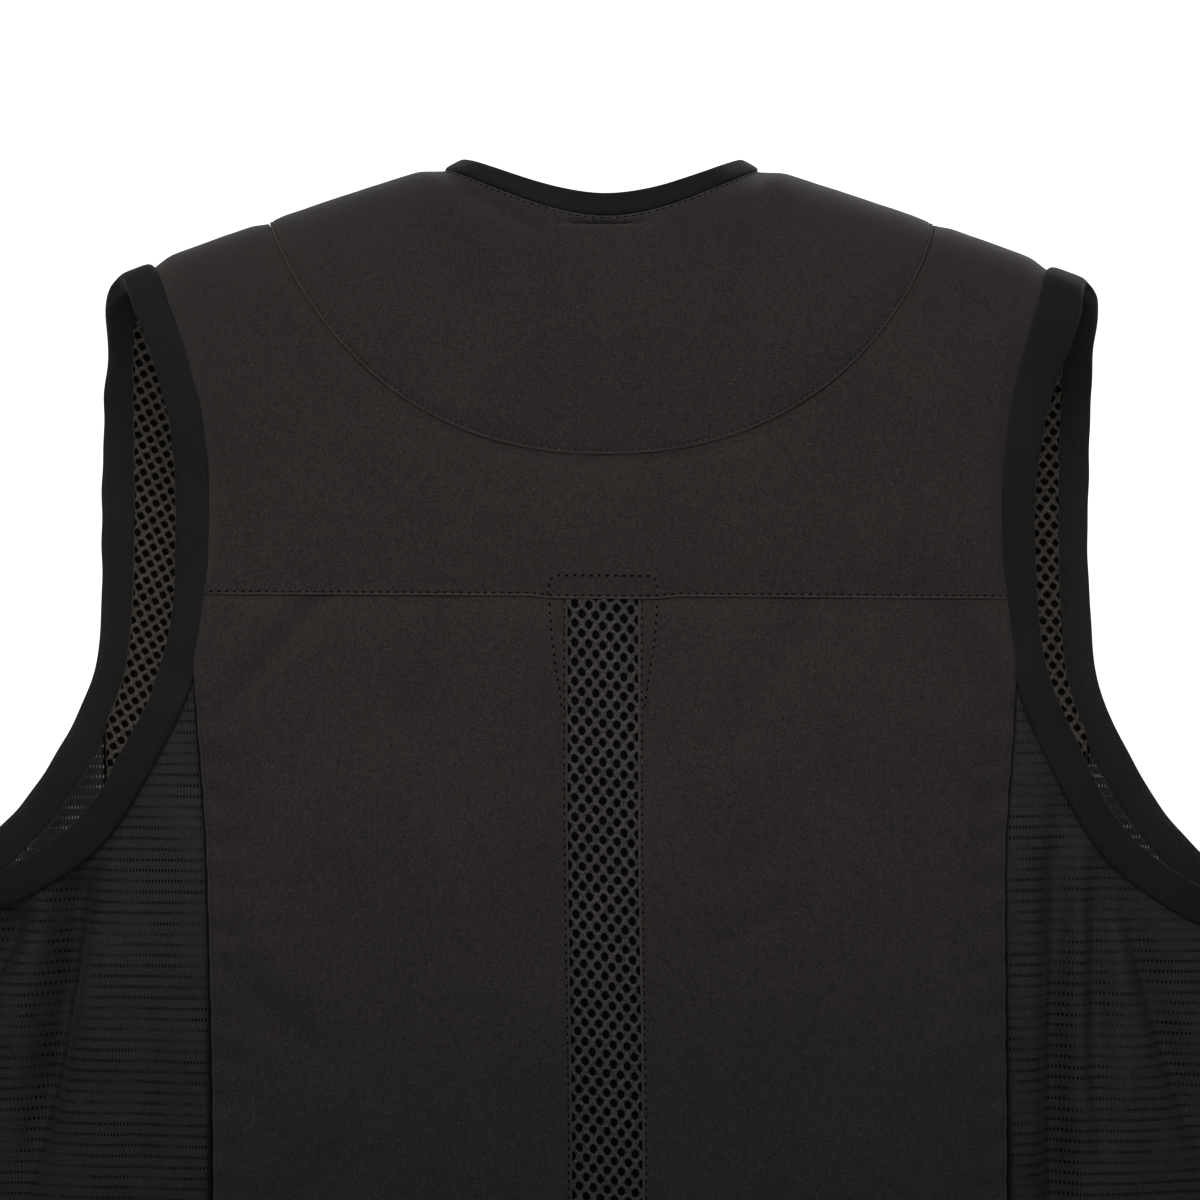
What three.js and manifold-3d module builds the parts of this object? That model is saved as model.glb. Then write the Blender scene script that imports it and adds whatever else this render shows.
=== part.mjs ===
// Airbag riding vest in the form it keeps when it is worn.
// Millimetres, +Z up. +Y points to the vest's front, so a viewer behind it looks along +Y and has +X on the right.
// The origin is the middle of the neck hole, level with the two points where the shoulders meet the neck.
// "Drop" is the distance below that level. A "half" width is measured from the middle plane, x = 0.
import * as THREE from "three";
import { mergeVertices } from "three/addons/utils/BufferGeometryUtils.js";
import Module from "manifold-3d";

// Outline
const NECK_HALF = 65;
const NECK_EDGE_HALF = 57;
const NAPE_SEAM_DROP = 22;
const NAPE_EDGE_DROP = 12.5;
const THROAT_SEAM_DROP = 84;
const THROAT_EDGE_DROP = 73;
const NECK_CROWN = 13;
const SHOULDER_SLOPE = 0.345;
const SHOULDER_BOW = 1.5;
const SHOULDER_TIP_HALF = 202;
const UNDERARM_HALF = 284;
const UNDERARM_DROP = 304;
const HEM_HALF = 266;
const HEM_DROP = 612;
const RIDGE_ROUND = 85;

// How the vest hangs: its right underarm is lower than its left one, and its hem swings a little to the right
const HANG = { low: 5, fromDrop: 100 };
const SWING = { right: 2, fromDrop: 250, toDrop: 420 };

// Half depth of the torso form at the middle plane, behind and in front of the shoulder line
const DEPTH_ROWS = [
  { drop: -40, back: 66, front: 62 },
  { drop: 60, back: 72, front: 68 },
  { drop: 160, back: 77, front: 76 },
  { drop: 300, back: 76, front: 80 },
  { drop: 450, back: 71, front: 75 },
  { drop: 620, back: 66, front: 68 },
];

// Free edge of the armhole: half width at each drop, on the back and on the front
const ARMHOLE_ROWS = [
  { drop: 62, back: 193, front: 210 },
  { drop: 85, back: 184, front: 211.5 },
  { drop: 112, back: 177.5, front: 211.5 },
  { drop: 146, back: 175.5, front: 211.5 },
  { drop: 183, back: 177, front: 212.5 },
  { drop: 212, back: 183, front: 216 },
  { drop: 241, back: 196.5, front: 228 },
  { drop: 270, back: 214, front: 246 },
  { drop: 290, back: 240, front: 265 },
  { drop: 300, back: 264, front: 278 },
];

// Seams of the back and the sides
const YOKE_INSERT = { half: 152, topDrop: -60, depth: 180, power: 2.2 };
const CROSS_SEAM_DROP = 177.5;
const FRONT_SHOULDER_FALL = 14;
const SPINE_HALF = 14.4;
const ZIP_HALF = 8;
const BACK_SIDE_SEAM_ROWS = [
  { drop: 150, half: 168.5 },
  { drop: 209, half: 168 },
  { drop: 290, half: 163 },
  { drop: 620, half: 163 },
];
const FRONT_SIDE_SEAM_ROWS = [
  { drop: 150, half: 214 },
  { drop: 235, half: 212 },
  { drop: 620, half: 203 },
];

// Drape folds of the side mesh: half widths at the upper and lower end of each valley, and its reach
const SIDE_FOLDS = {
  right: [
    { topHalf: 184, lowHalf: 182, topDrop: 268, lowDrop: 452, depth: 5, width: 15 },
    { topHalf: 214, lowHalf: 240, topDrop: 292, lowDrop: 430, depth: 4, width: 14 },
  ],
  left: [
    { topHalf: 222, lowHalf: 236, topDrop: 290, lowDrop: 400, depth: 5, width: 13 },
    { topHalf: 250, lowHalf: 262, topDrop: 300, lowDrop: 390, depth: 4, width: 14 },
  ],
};

// Thicknesses and clearances
const PAD_THICK = 8;
const PAD_PINCH = 1.5;
const SPINE_THICK = 4;
const SPINE_SINK = 1.2;
const SIDE_THICK = 1.6;
const SIDE_SINK = 0.8;
const LINING_THICK = 2.6;
const BINDING_WIDTH = 12;
const BINDING_THICK = 4.4;
const GAP = 0.4;

// Front zip
const ZIP_TAPE_THICK = 1.6;
const ZIP_COIL_HALF = 3;
const ZIP_COIL_RISE = 1.6;
const ZIP_SLIDER = { width: 9, height: 14, rise: 3.4, below: 22 };
const ZIP_PULL = { width: 6, length: 24, thick: 2, overlap: 4 };

const evenly = (count) => Array.from({ length: count + 1 }, (_, k) => k / count);
const HALF_TURN = Math.PI;
const QUARTER_TURN = Math.PI / 2;
const NUDGE = 1e-3;

const lerp = THREE.MathUtils.lerp;
const clamp01 = (value) => THREE.MathUtils.clamp(value, 0, 1);
const smooth01 = (value) => THREE.MathUtils.smoothstep(value, 0, 1);

// A smooth function through the rows of a table, from its drop column to another column.
function columnOf(rows, column) {
  const drops = rows.map((row) => row.drop);
  const values = rows.map((row) => row[column]);
  const slopes = values.map((value, k) => {
    const before = Math.max(k - 1, 0);
    const after = Math.min(k + 1, rows.length - 1);
    return (values[after] - values[before]) / (drops[after] - drops[before]);
  });
  return (drop) => {
    const last = rows.length - 2;
    const found = drops.findIndex((next, k) => k > 0 && drop <= next) - 1;
    const k = found < 0 ? last : Math.min(found, last);
    const span = drops[k + 1] - drops[k];
    const s = clamp01((drop - drops[k]) / span);
    const ease = s * s * (3 - 2 * s);
    const leave = s * (1 - s) * (1 - s) * span * slopes[k];
    const arrive = s * s * (s - 1) * span * slopes[k + 1];
    return lerp(values[k], values[k + 1], ease) + leave + arrive;
  };
}

const backDepth = columnOf(DEPTH_ROWS, "back");
const frontDepth = columnOf(DEPTH_ROWS, "front");
const backSideSeam = columnOf(BACK_SIDE_SEAM_ROWS, "half");
const frontSideSeam = columnOf(FRONT_SIDE_SEAM_ROWS, "half");

// Half width of the torso form: even down to the underarm, then tapering to the hem.
function halfWidth(drop) {
  const below = clamp01((drop - UNDERARM_DROP) / (HEM_DROP - UNDERARM_DROP));
  return lerp(UNDERARM_HALF, HEM_HALF, smooth01(below));
}

// Drop of the shoulder line, which slopes with a slight bow outside the neck and crowns across it.
function ridgeDrop(x) {
  const half = Math.abs(x);
  if (half < NECK_HALF) return -NECK_CROWN * (1 - (half / NECK_HALF) ** 3);
  const out = (half - NECK_HALF) / (SHOULDER_TIP_HALF - NECK_HALF);
  return SHOULDER_SLOPE * (half - NECK_HALF) - SHOULDER_BOW * Math.sin(Math.min(out, 1) * HALF_TURN);
}

// A walk away from the shoulder line first goes round a quarter circle and then straight down.
const RIDGE_QUARTER = RIDGE_ROUND * QUARTER_TURN;

function fallOf(walk) {
  const far = Math.abs(walk);
  if (far < RIDGE_QUARTER) return RIDGE_ROUND * (1 - Math.cos(far / RIDGE_ROUND));
  return RIDGE_ROUND + far - RIDGE_QUARTER;
}

function walkOf(fall) {
  if (fall < RIDGE_ROUND) return RIDGE_ROUND * Math.acos(1 - Math.max(fall, 0) / RIDGE_ROUND);
  return RIDGE_QUARTER + fall - RIDGE_ROUND;
}

// A spot on the vest's middle surface is an angle round the torso and a walk from the shoulder line.
// The angle is 0 at the right side fold and a half turn at the left one. The back has both of one sign, and the
// front has opposite signs, so a panel may cross the shoulder line (walk 0) or a side fold (angle 0).
const spot = (angle, walk) => ({ angle, walk });
const flipSpot = ({ angle, walk }) => spot(-angle, -walk);
const mirrorSpot = ({ angle, walk }) => spot(HALF_TURN - angle, walk);
const mixSpots = (a, b, s) => spot(lerp(a.angle, b.angle, s), lerp(a.walk, b.walk, s));

function dropOf({ angle, walk }) {
  return ridgeDrop(UNDERARM_HALF * Math.cos(angle)) + fallOf(walk);
}

const halfOf = (place) => halfWidth(dropOf(place)) * Math.cos(place.angle);

function pointAt(place) {
  const { angle, walk } = place;
  const drop = dropOf(place);
  const turn = Math.sin(angle) * Math.sign(walk);
  const depth = turn > 0 ? backDepth(drop) : frontDepth(drop);
  const lean = Math.sin(Math.min(Math.abs(walk) / RIDGE_ROUND, QUARTER_TURN));
  const hang = HANG.low * THREE.MathUtils.smoothstep(drop, HANG.fromDrop, UNDERARM_DROP) * Math.cos(angle);
  const swing = SWING.right * THREE.MathUtils.smoothstep(drop, SWING.fromDrop, SWING.toDrop);
  return new THREE.Vector3(halfWidth(drop) * Math.cos(angle) + swing, -depth * turn * lean, -drop - hang);
}

// Directions in which the surface runs when a spot's angle or walk grows.
function slopesAt({ angle, walk }) {
  const along = (angleStep, walkStep) =>
    pointAt(spot(angle + angleStep, walk + walkStep))
      .sub(pointAt(spot(angle - angleStep, walk - walkStep)))
      .divideScalar(2 * (angleStep + walkStep));
  return { byAngle: along(NUDGE, 0), byWalk: along(0, NUDGE) };
}

function normalAt(place) {
  const { byAngle, byWalk } = slopesAt(place);
  return byAngle.cross(byWalk).normalize();
}

// A spot at a given half width and drop: back is 1 for the back and -1 for the front.
function spotAt(x, drop, back) {
  const angle = Math.acos(THREE.MathUtils.clamp(x / halfWidth(drop), -1, 1));
  const fall = drop - ridgeDrop(UNDERARM_HALF * Math.cos(angle));
  return spot(angle, back * walkOf(fall));
}

// A spot at a given angle and drop, with the angle negative on the front.
const spotAtAngle = (angle, drop) => spot(angle, walkOf(drop - ridgeDrop(UNDERARM_HALF * Math.cos(angle))));

// The spot reached by moving some distance over the surface in a direction that lies in it.
function slide(place, direction, distance) {
  const { byAngle, byWalk } = slopesAt(place);
  const aa = byAngle.dot(byAngle);
  const ww = byWalk.dot(byWalk);
  const aw = byAngle.dot(byWalk);
  const da = byAngle.dot(direction) * distance;
  const dw = byWalk.dot(direction) * distance;
  const area = aa * ww - aw * aw;
  return spot(place.angle + (da * ww - dw * aw) / area, place.walk + (dw * aa - da * aw) / area);
}

// Neck hole: turn 0 is the right shoulder, a quarter turn the nape and minus a quarter turn the throat.
// Inward is 0 at the binding's seam and 1 at its free edge.
function neckSpot(turn, inward) {
  const half = lerp(NECK_HALF, NECK_EDGE_HALF, inward);
  const behind = Math.sin(turn) >= 0;
  const seamDrop = behind ? NAPE_SEAM_DROP : THROAT_SEAM_DROP;
  const edgeDrop = behind ? NAPE_EDGE_DROP : THROAT_EDGE_DROP;
  const lowest = lerp(seamDrop, edgeDrop, inward) - ridgeDrop(0);
  const fall = lowest * Math.sin(turn) ** 2;
  return spot(Math.acos((half * Math.cos(turn)) / UNDERARM_HALF), walkOf(fall) * (behind ? 1 : -1));
}

// Right armhole: share 0 is the shoulder line, a half the underarm and 1 the shoulder line again, from the front.
const ARMHOLE_ARCH = (() => {
  const knot = ({ angle, walk }) => new THREE.Vector3(angle * UNDERARM_HALF, walk, 0);
  const tip = spotAt(SHOULDER_TIP_HALF, ridgeDrop(SHOULDER_TIP_HALF), 1);
  const behind = ARMHOLE_ROWS.map((row) => spotAt(row.back, row.drop, 1));
  const before = ARMHOLE_ROWS.map((row) => flipSpot(spotAt(row.front, row.drop, -1))).reverse();
  const underarm = spotAt(UNDERARM_HALF, UNDERARM_DROP, 1);
  const knots = [tip, ...behind, underarm, ...before, flipSpot(tip)];
  return new THREE.CatmullRomCurve3(knots.map(knot));
})();

function armholeEdge(share) {
  const { x, y } = ARMHOLE_ARCH.getPointAt(THREE.MathUtils.euclideanModulo(share, 1));
  return spot(x / UNDERARM_HALF, y);
}

// The spot at a distance from the armhole's free edge, on the side of the cloth.
function armholeSpot(share, inward) {
  const place = armholeEdge(share);
  const ahead = pointAt(armholeEdge(share + NUDGE));
  const tangent = ahead.sub(pointAt(armholeEdge(share - NUDGE))).normalize();
  const across = normalAt(place).cross(tangent);
  return slide(place, across, -inward);
}

const clothEdge = (share) => armholeSpot(share, BINDING_WIDTH + GAP);

// Share of the armhole between two shares where a measure of its cloth edge changes sign.
function crossing(measure, from, to) {
  const rises = measure(clothEdge(to)) > measure(clothEdge(from));
  let [low, high] = rises ? [from, to] : [to, from];
  for (let k = 0; k < 40; k++) {
    const middle = (low + high) / 2;
    if (measure(clothEdge(middle)) > 0) high = middle;
    else low = middle;
  }
  return (low + high) / 2;
}

const beyondSeam = (seam, shift) => (place) => halfOf(place) - seam(dropOf(place)) - shift;
const crossSeamShare = (shift) => crossing((place) => dropOf(place) - CROSS_SEAM_DROP - shift, 0.1, 0.4);
const backSeamShare = (shift) => crossing(beyondSeam(backSideSeam, shift), crossSeamShare(0), 0.5);
const frontSeamShare = (shift) => crossing(beyondSeam(frontSideSeam, shift), 0.5, 0.8);
const shoulderSeamShare = (shift) =>
  crossing((place) => place.walk - walkOf(FRONT_SHOULDER_FALL + shift), 0.8, 0.999);

// Positions along an edge: the spans between the given ends, each cut into its number of equal steps.
function stations(ends, steps) {
  const cut = (count, k) => Array.from({ length: count }, (_, i) => lerp(ends[k], ends[k + 1], i / count));
  return [...steps.flatMap(cut), ends[ends.length - 1]];
}

// Steps along the edges where neighbouring pieces meet, so that both are cut at the same places
const STEPS = { shoulder: 3, yokeArmhole: 8, crossSeam: 6, backCorner: 2, underarm: 20, frontArmhole: 8, side: 12, frontNeck: 5 };

// Curved seam of the yoke insert on the back, from the right shoulder line (0) to its lowest point (1).
function insertSeamAt(turn) {
  const power = 2 / YOKE_INSERT.power;
  const x = YOKE_INSERT.half * Math.max(Math.cos(turn), 0) ** power;
  return { x, drop: YOKE_INSERT.topDrop + YOKE_INSERT.depth * Math.sin(turn) ** power };
}

const INSERT_START_TURN = (() => {
  let [low, high] = [0, QUARTER_TURN / 2];
  for (let k = 0; k < 40; k++) {
    const middle = (low + high) / 2;
    const { x, drop } = insertSeamAt(middle);
    if (drop > ridgeDrop(x)) high = middle;
    else low = middle;
  }
  return high;
})();

function insertSeam(share) {
  const turn = lerp(INSERT_START_TURN, QUARTER_TURN, 1 - Math.cos(share * QUARTER_TURN));
  const { x, drop } = insertSeamAt(turn);
  return spotAt(x, drop, 1);
}

// Yoke lines, from the front shoulder seam (-1) over the shoulder line (0) to the middle of the back (1).
// Each of them gives its spot on the right half, and yokeLine adds the left half, up to 3.
const yokeLine = (rightHalf) => (step) => (step <= 1 ? rightHalf(step) : mirrorSpot(rightHalf(2 - step)));
const frontFall = (step) => FRONT_SHOULDER_FALL * step * step;
const THROAT_FALL = THROAT_SEAM_DROP - ridgeDrop(0);
const neckTurn = (step) => (step >= 0 ? step * QUARTER_TURN : -Math.asin(Math.sqrt(frontFall(step) / THROAT_FALL)));
const neckLine = yokeLine((step) => neckSpot(neckTurn(step), 0));

const insertLine = yokeLine((step) => {
  if (step >= 0) return insertSeam(step);
  return spot(insertSeam(0).angle, -walkOf(frontFall(step)));
});

// The outer yoke reaches the armhole down to the corner step, and the cross seam from there to the middle.
const YOKE_CORNER_STEP = 0.6;
const YOKE_HALF_STEPS = [STEPS.shoulder, STEPS.yokeArmhole, STEPS.crossSeam];
const YOKE_HALF_ENDS = [-1, 0, YOKE_CORNER_STEP, 1];
const YOKE_STATIONS = (() => {
  const right = stations(YOKE_HALF_ENDS, YOKE_HALF_STEPS);
  const left = right.slice(0, -1).map((step) => 2 - step).reverse();
  return [...right, ...left];
})();

const yokeRim = (() => {
  const cornerShare = crossSeamShare(0);
  const shoulderShare = shoulderSeamShare(0);
  const corner = halfOf(clothEdge(cornerShare));
  return yokeLine((step) => {
    if (step < 0) return flipSpot(clothEdge(lerp(1 - NUDGE, shoulderShare, -step)));
    if (step < YOKE_CORNER_STEP) return clothEdge(lerp(0, cornerShare, step / YOKE_CORNER_STEP));
    const inward = (step - YOKE_CORNER_STEP) / (1 - YOKE_CORNER_STEP);
    return spotAt(lerp(corner, 0, inward), CROSS_SEAM_DROP, 1);
  });
})();

// A patch between four boundary lines: top and bottom run with u, left and right with v.
function patchOf(top, bottom, left, right) {
  const coordinate = (name, u, v) => {
    const ruled = lerp(top(u)[name], bottom(u)[name], v) + lerp(left(v)[name], right(v)[name], u);
    const upper = lerp(top(0)[name], top(1)[name], u);
    const lower = lerp(bottom(0)[name], bottom(1)[name], u);
    return ruled - lerp(upper, lower, v);
  };
  return (u, v) => spot(coordinate("angle", u, v), coordinate("walk", u, v));
}

// Geometry of a closed surface from its points and four-sided faces.
function closedGeometry(points, quads) {
  const geometry = new THREE.BufferGeometry();
  geometry.setAttribute("position", new THREE.Float32BufferAttribute(points.flatMap((p) => p.toArray()), 3));
  geometry.setIndex(quads.flatMap(([a, b, c, d]) => [a, b, c, a, c, d]));
  geometry.computeVertexNormals();
  return geometry;
}

// A wall of cloth over a patch, cut at the given positions across and down it.
// The offsets give its outer and inner face's distance from the middle surface.
function wallGeometry(patch, us, vs, offsets) {
  const points = [];
  const face = (name, sense) => {
    for (const v of vs) {
      for (const u of us) {
        const place = patch(u, v);
        const reach = sense * offsets(u, v)[name];
        points.push(pointAt(place).addScaledVector(normalAt(place), reach));
      }
    }
  };
  face("outer", 1);
  face("inner", -1);
  const across = us.length - 1;
  const down = vs.length - 1;
  const inner = us.length * vs.length;
  const at = (i, j) => j * us.length + i;
  const quads = [];
  for (let j = 0; j < down; j++) {
    for (let i = 0; i < across; i++) {
      const ring = [at(i, j), at(i + 1, j), at(i + 1, j + 1), at(i, j + 1)];
      quads.push(ring, ring.map((k) => k + inner).reverse());
    }
  }
  const rim = (a, b) => quads.push([a, a + inner, b + inner, b]);
  for (let i = 0; i < across; i++) {
    rim(at(i, 0), at(i + 1, 0));
    rim(at(i + 1, down), at(i, down));
  }
  for (let j = 0; j < down; j++) {
    rim(at(0, j + 1), at(0, j));
    rim(at(across, j), at(across, j + 1));
  }
  return outwards(closedGeometry(points, quads));
}

// The same surface with its faces turned round if they enclose a negative volume.
function outwards(geometry) {
  const position = geometry.getAttribute("position");
  const corner = (k) => new THREE.Vector3().fromBufferAttribute(position, geometry.index.getX(k));
  let volume = 0;
  for (let k = 0; k < geometry.index.count; k += 3) {
    volume += corner(k).dot(corner(k + 1).cross(corner(k + 2)));
  }
  if (volume > 0) return geometry;
  const order = Array.from(geometry.index.array);
  geometry.setIndex(order.map((_, k) => order[k - (k % 3) + (2 - (k % 3))]));
  geometry.computeVertexNormals();
  return geometry;
}

// Folded binding: points of its section, from the free edge (across 0) to the seam (across 1).
const BINDING_SECTION = [
  { across: 0, rise: 0.55 },
  { across: 0.12, rise: 1 },
  { across: 0.86, rise: 1 },
  { across: 1, rise: 0.55 },
  { across: 1, rise: -0.55 },
  { across: 0.86, rise: -1 },
  { across: 0.12, rise: -1 },
  { across: 0, rise: -0.55 },
];

// A binding carried along an edge: spotOf gives the spot at a position along it and at a share of its width.
function bindingGeometry(spotOf, positions, closed) {
  const count = BINDING_SECTION.length;
  const rings = positions.length;
  const steps = closed ? rings : rings - 1;
  const points = [];
  for (const position of positions) {
    for (const { across, rise } of BINDING_SECTION) {
      const place = spotOf(position, across);
      points.push(pointAt(place).addScaledVector(normalAt(place), (rise * BINDING_THICK) / 2));
    }
  }
  const quads = [];
  for (let k = 0; k < steps; k++) {
    const here = k * count;
    const next = ((k + 1) % rings) * count;
    for (let i = 0; i < count; i++) {
      const j = (i + 1) % count;
      quads.push([here + i, next + i, next + j, here + j]);
    }
  }
  const cap = (first, order) => {
    for (let i = 1; i < count - 2; i += 2) quads.push(order([0, i, i + 1, i + 2].map((k) => first + k)));
  };
  if (!closed) {
    cap(0, (ring) => ring);
    cap(steps * count, (ring) => ring.reverse());
  }
  return outwards(closedGeometry(points, quads));
}

// Padded cloth: full in the middle and pinched where it is sewn. Sewn edges are named by their patch side.
const PINCH_REACH = 0.16;
const pinchAt = (distance) => (1 - smooth01(distance / PINCH_REACH)) * PAD_PINCH;

function padOffsets(sewn) {
  return (u, v) => {
    const distance = { top: v, bottom: 1 - v, left: u, right: 1 - u };
    const pinch = Math.max(...sewn.map((side) => pinchAt(distance[side])));
    return { outer: PAD_THICK / 2 - pinch, inner: PAD_THICK / 2 - pinch };
  };
}

// Depth of the drape folds at a spot of the side mesh: a bell across each valley, fading at both its ends.
function foldDepth(folds, place) {
  const drop = dropOf(place);
  const half = halfOf(place);
  if (place.angle < 0) return 0;
  return folds.reduce((sum, fold) => {
    const s = (drop - fold.topDrop) / (fold.lowDrop - fold.topDrop);
    if (s <= 0 || s >= 1) return sum;
    const off = (half - lerp(fold.topHalf, fold.lowHalf, s)) / fold.width;
    return sum + fold.depth * Math.sin(s * HALF_TURN) * Math.exp(-off * off);
  }, 0);
}

// Panels of the right half, each over a patch of the middle surface
const CLOTH_HEM_DROP = HEM_DROP - BINDING_WIDTH - GAP;

// Yoke patches run with u from the right front shoulder seam round the back to the left one.
const YOKE_US = YOKE_STATIONS.map((step) => (step + 1) / 4);

function yokePatch(upper, lower) {
  return (u, v) => {
    const [top, bottom] = [upper(4 * u - 1), lower(4 * u - 1)];
    const inset = GAP / 2 / pointAt(top).distanceTo(pointAt(bottom));
    return mixSpots(top, bottom, lerp(inset, 1 - inset, v));
  };
}

// Share of the back panel's height where its side leaves the armhole
const BACK_CORNER_SHARE = 0.075;

function backPanelPatch() {
  const topDrop = CROSS_SEAM_DROP + GAP;
  const from = crossSeamShare(GAP);
  const to = backSeamShare(-GAP / 2);
  const cornerDrop = dropOf(clothEdge(to));
  const inner = (v) => spotAt(SPINE_HALF + GAP / 2, lerp(topDrop, CLOTH_HEM_DROP, v), 1);
  const outer = (v) => {
    if (v < BACK_CORNER_SHARE) return clothEdge(lerp(from, to, v / BACK_CORNER_SHARE));
    const drop = lerp(cornerDrop, CLOTH_HEM_DROP, (v - BACK_CORNER_SHARE) / (1 - BACK_CORNER_SHARE));
    return spotAt(backSideSeam(drop) - GAP / 2, drop, 1);
  };
  const level = (drop, side) => (u) => spotAt(lerp(SPINE_HALF + GAP / 2, halfOf(side), u), drop, 1);
  return patchOf(level(topDrop, outer(0)), level(CLOTH_HEM_DROP, outer(1)), inner, outer);
}

function spinePatch() {
  const half = SPINE_HALF - GAP / 2;
  return (u, v) => spotAt(lerp(half, -half, u), lerp(CROSS_SEAM_DROP + GAP, CLOTH_HEM_DROP, v), 1);
}

function sidePatch() {
  const backShare = backSeamShare(GAP / 2);
  const frontShare = frontSeamShare(GAP / 2);
  const backTop = dropOf(clothEdge(backShare));
  const frontTop = dropOf(clothEdge(frontShare));
  const seamSpot = (seam, drop, back) => spotAt(seam(drop) + GAP / 2, drop, back);
  const left = (v) => seamSpot(backSideSeam, lerp(backTop, CLOTH_HEM_DROP, v), 1);
  const right = (v) => flipSpot(seamSpot(frontSideSeam, lerp(frontTop, CLOTH_HEM_DROP, v), -1));
  const top = (u) => clothEdge(lerp(backShare, frontShare, u));
  const hemAngle = (u) => lerp(left(1).angle, right(1).angle, u);
  const bottom = (u) => spotAtAngle(hemAngle(u), CLOTH_HEM_DROP);
  return patchOf(top, bottom, left, right);
}

// Share of the front panel's height where the neck meets the zip, and where the armhole meets the side seam
const FRONT_NECK_SHARE = 0.2;
const FRONT_ARMHOLE_SHARE = 0.32;

// Turn of the neck where a share of its binding's width comes to the zip.
const zipTurn = (inward) => Math.acos((ZIP_HALF + GAP) / lerp(NECK_HALF, NECK_EDGE_HALF, inward));

function frontPatch() {
  const neckStart = Math.asin(Math.sqrt((FRONT_SHOULDER_FALL + GAP) / THROAT_FALL));
  const throat = dropOf(neckSpot(-zipTurn(0), 0));
  const inner = (v) => {
    if (v < FRONT_NECK_SHARE) return flipSpot(neckSpot(-lerp(neckStart, zipTurn(0), v / FRONT_NECK_SHARE), 0));
    const s = (v - FRONT_NECK_SHARE) / (1 - FRONT_NECK_SHARE);
    return flipSpot(spotAt(ZIP_HALF + GAP, lerp(throat, CLOTH_HEM_DROP, s), -1));
  };
  const from = shoulderSeamShare(GAP);
  const to = frontSeamShare(-GAP / 2);
  const sideTop = dropOf(clothEdge(to));
  const outer = (v) => {
    if (v < FRONT_ARMHOLE_SHARE) return clothEdge(lerp(from, to, v / FRONT_ARMHOLE_SHARE));
    const s = (v - FRONT_ARMHOLE_SHARE) / (1 - FRONT_ARMHOLE_SHARE);
    const drop = lerp(sideTop, CLOTH_HEM_DROP, s);
    return flipSpot(spotAt(frontSideSeam(drop) - GAP / 2, drop, -1));
  };
  const top = (u) => mixSpots(inner(0), outer(0), u);
  const bottom = (u) => spotAtAngle(lerp(inner(1).angle, outer(1).angle, u), CLOTH_HEM_DROP);
  return patchOf(top, bottom, inner, outer);
}

// Zip: flat tapes with a raised coil between them, and a slider with its pull near the throat.
const ZIP_COLUMNS = [-1, -0.42, -0.36, 0, 0.36, 0.42, 1];

async function zipGeometry() {
  const half = ZIP_HALF - GAP / 2;
  const topDrop = THROAT_EDGE_DROP;
  const columns = ZIP_COLUMNS.length - 1;
  const patch = (u, v) => {
    const x = half * ZIP_COLUMNS[Math.round(u * columns)];
    return spotAt(-x, lerp(topDrop, HEM_DROP, v), -1);
  };
  const offsets = (u) => {
    const off = Math.abs(half * ZIP_COLUMNS[Math.round(u * columns)]);
    const rise = off < ZIP_COIL_HALF ? ZIP_COIL_RISE : 0;
    return { outer: ZIP_TAPE_THICK / 2 + rise, inner: ZIP_TAPE_THICK / 2 };
  };
  const tape = wallGeometry(patch, evenly(columns), evenly(22), offsets);
  const wasm = await Module();
  wasm.setup();
  const slider = blockOnFront(ZIP_SLIDER.width, ZIP_SLIDER.rise, ZIP_SLIDER.height, topDrop + ZIP_SLIDER.below, 0);
  const pullDrop = topDrop + ZIP_SLIDER.below + (ZIP_SLIDER.height + ZIP_PULL.length) / 2 - ZIP_PULL.overlap;
  const pull = blockOnFront(ZIP_PULL.width, ZIP_PULL.thick, ZIP_PULL.length, pullDrop, ZIP_SLIDER.rise - ZIP_PULL.thick / 2);
  const joined = [tape, slider, pull].map((geometry) => solidOf(wasm, geometry)).reduce((a, b) => a.add(b));
  return geometryOf(joined);
}

// A block on the middle of the front: lift is its underside's height over the coil.
function blockOnFront(width, thick, length, drop, lift) {
  const place = spotAt(0, drop, -1);
  const out = normalAt(place);
  const up = new THREE.Vector3(1, 0, 0).cross(out);
  const centre = pointAt(place).addScaledVector(out, ZIP_COIL_RISE + lift + thick / 2);
  const turn = new THREE.Matrix4().makeBasis(new THREE.Vector3(1, 0, 0), out, up);
  return new THREE.BoxGeometry(width, thick, length).applyMatrix4(turn.setPosition(centre));
}

function solidOf(wasm, geometry) {
  const bare = geometry.clone().deleteAttribute("normal").deleteAttribute("uv");
  const merged = mergeVertices(bare, 1e-4);
  const mesh = new wasm.Mesh({
    numProp: 3,
    vertProperties: new Float32Array(merged.getAttribute("position").array),
    triVerts: new Uint32Array(merged.index.array),
  });
  return new wasm.Manifold(mesh);
}

function geometryOf(solid) {
  const mesh = solid.getMesh();
  const geometry = new THREE.BufferGeometry();
  geometry.setAttribute("position", new THREE.Float32BufferAttribute(mesh.vertProperties, 3));
  geometry.setIndex(Array.from(mesh.triVerts));
  geometry.computeVertexNormals();
  return geometry;
}

// Bindings: the neck and the hem are open at the zip, the armholes are whole rings.
const NECK_SEAM_SHARE = GAP / BINDING_WIDTH;
const NECK_STATIONS = (() => {
  const right = stations([-2, ...YOKE_HALF_ENDS], [STEPS.frontNeck, ...YOKE_HALF_STEPS]);
  const left = right.slice(0, -1).map((step) => 2 - step).reverse();
  return [...right, ...left];
})();

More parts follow.
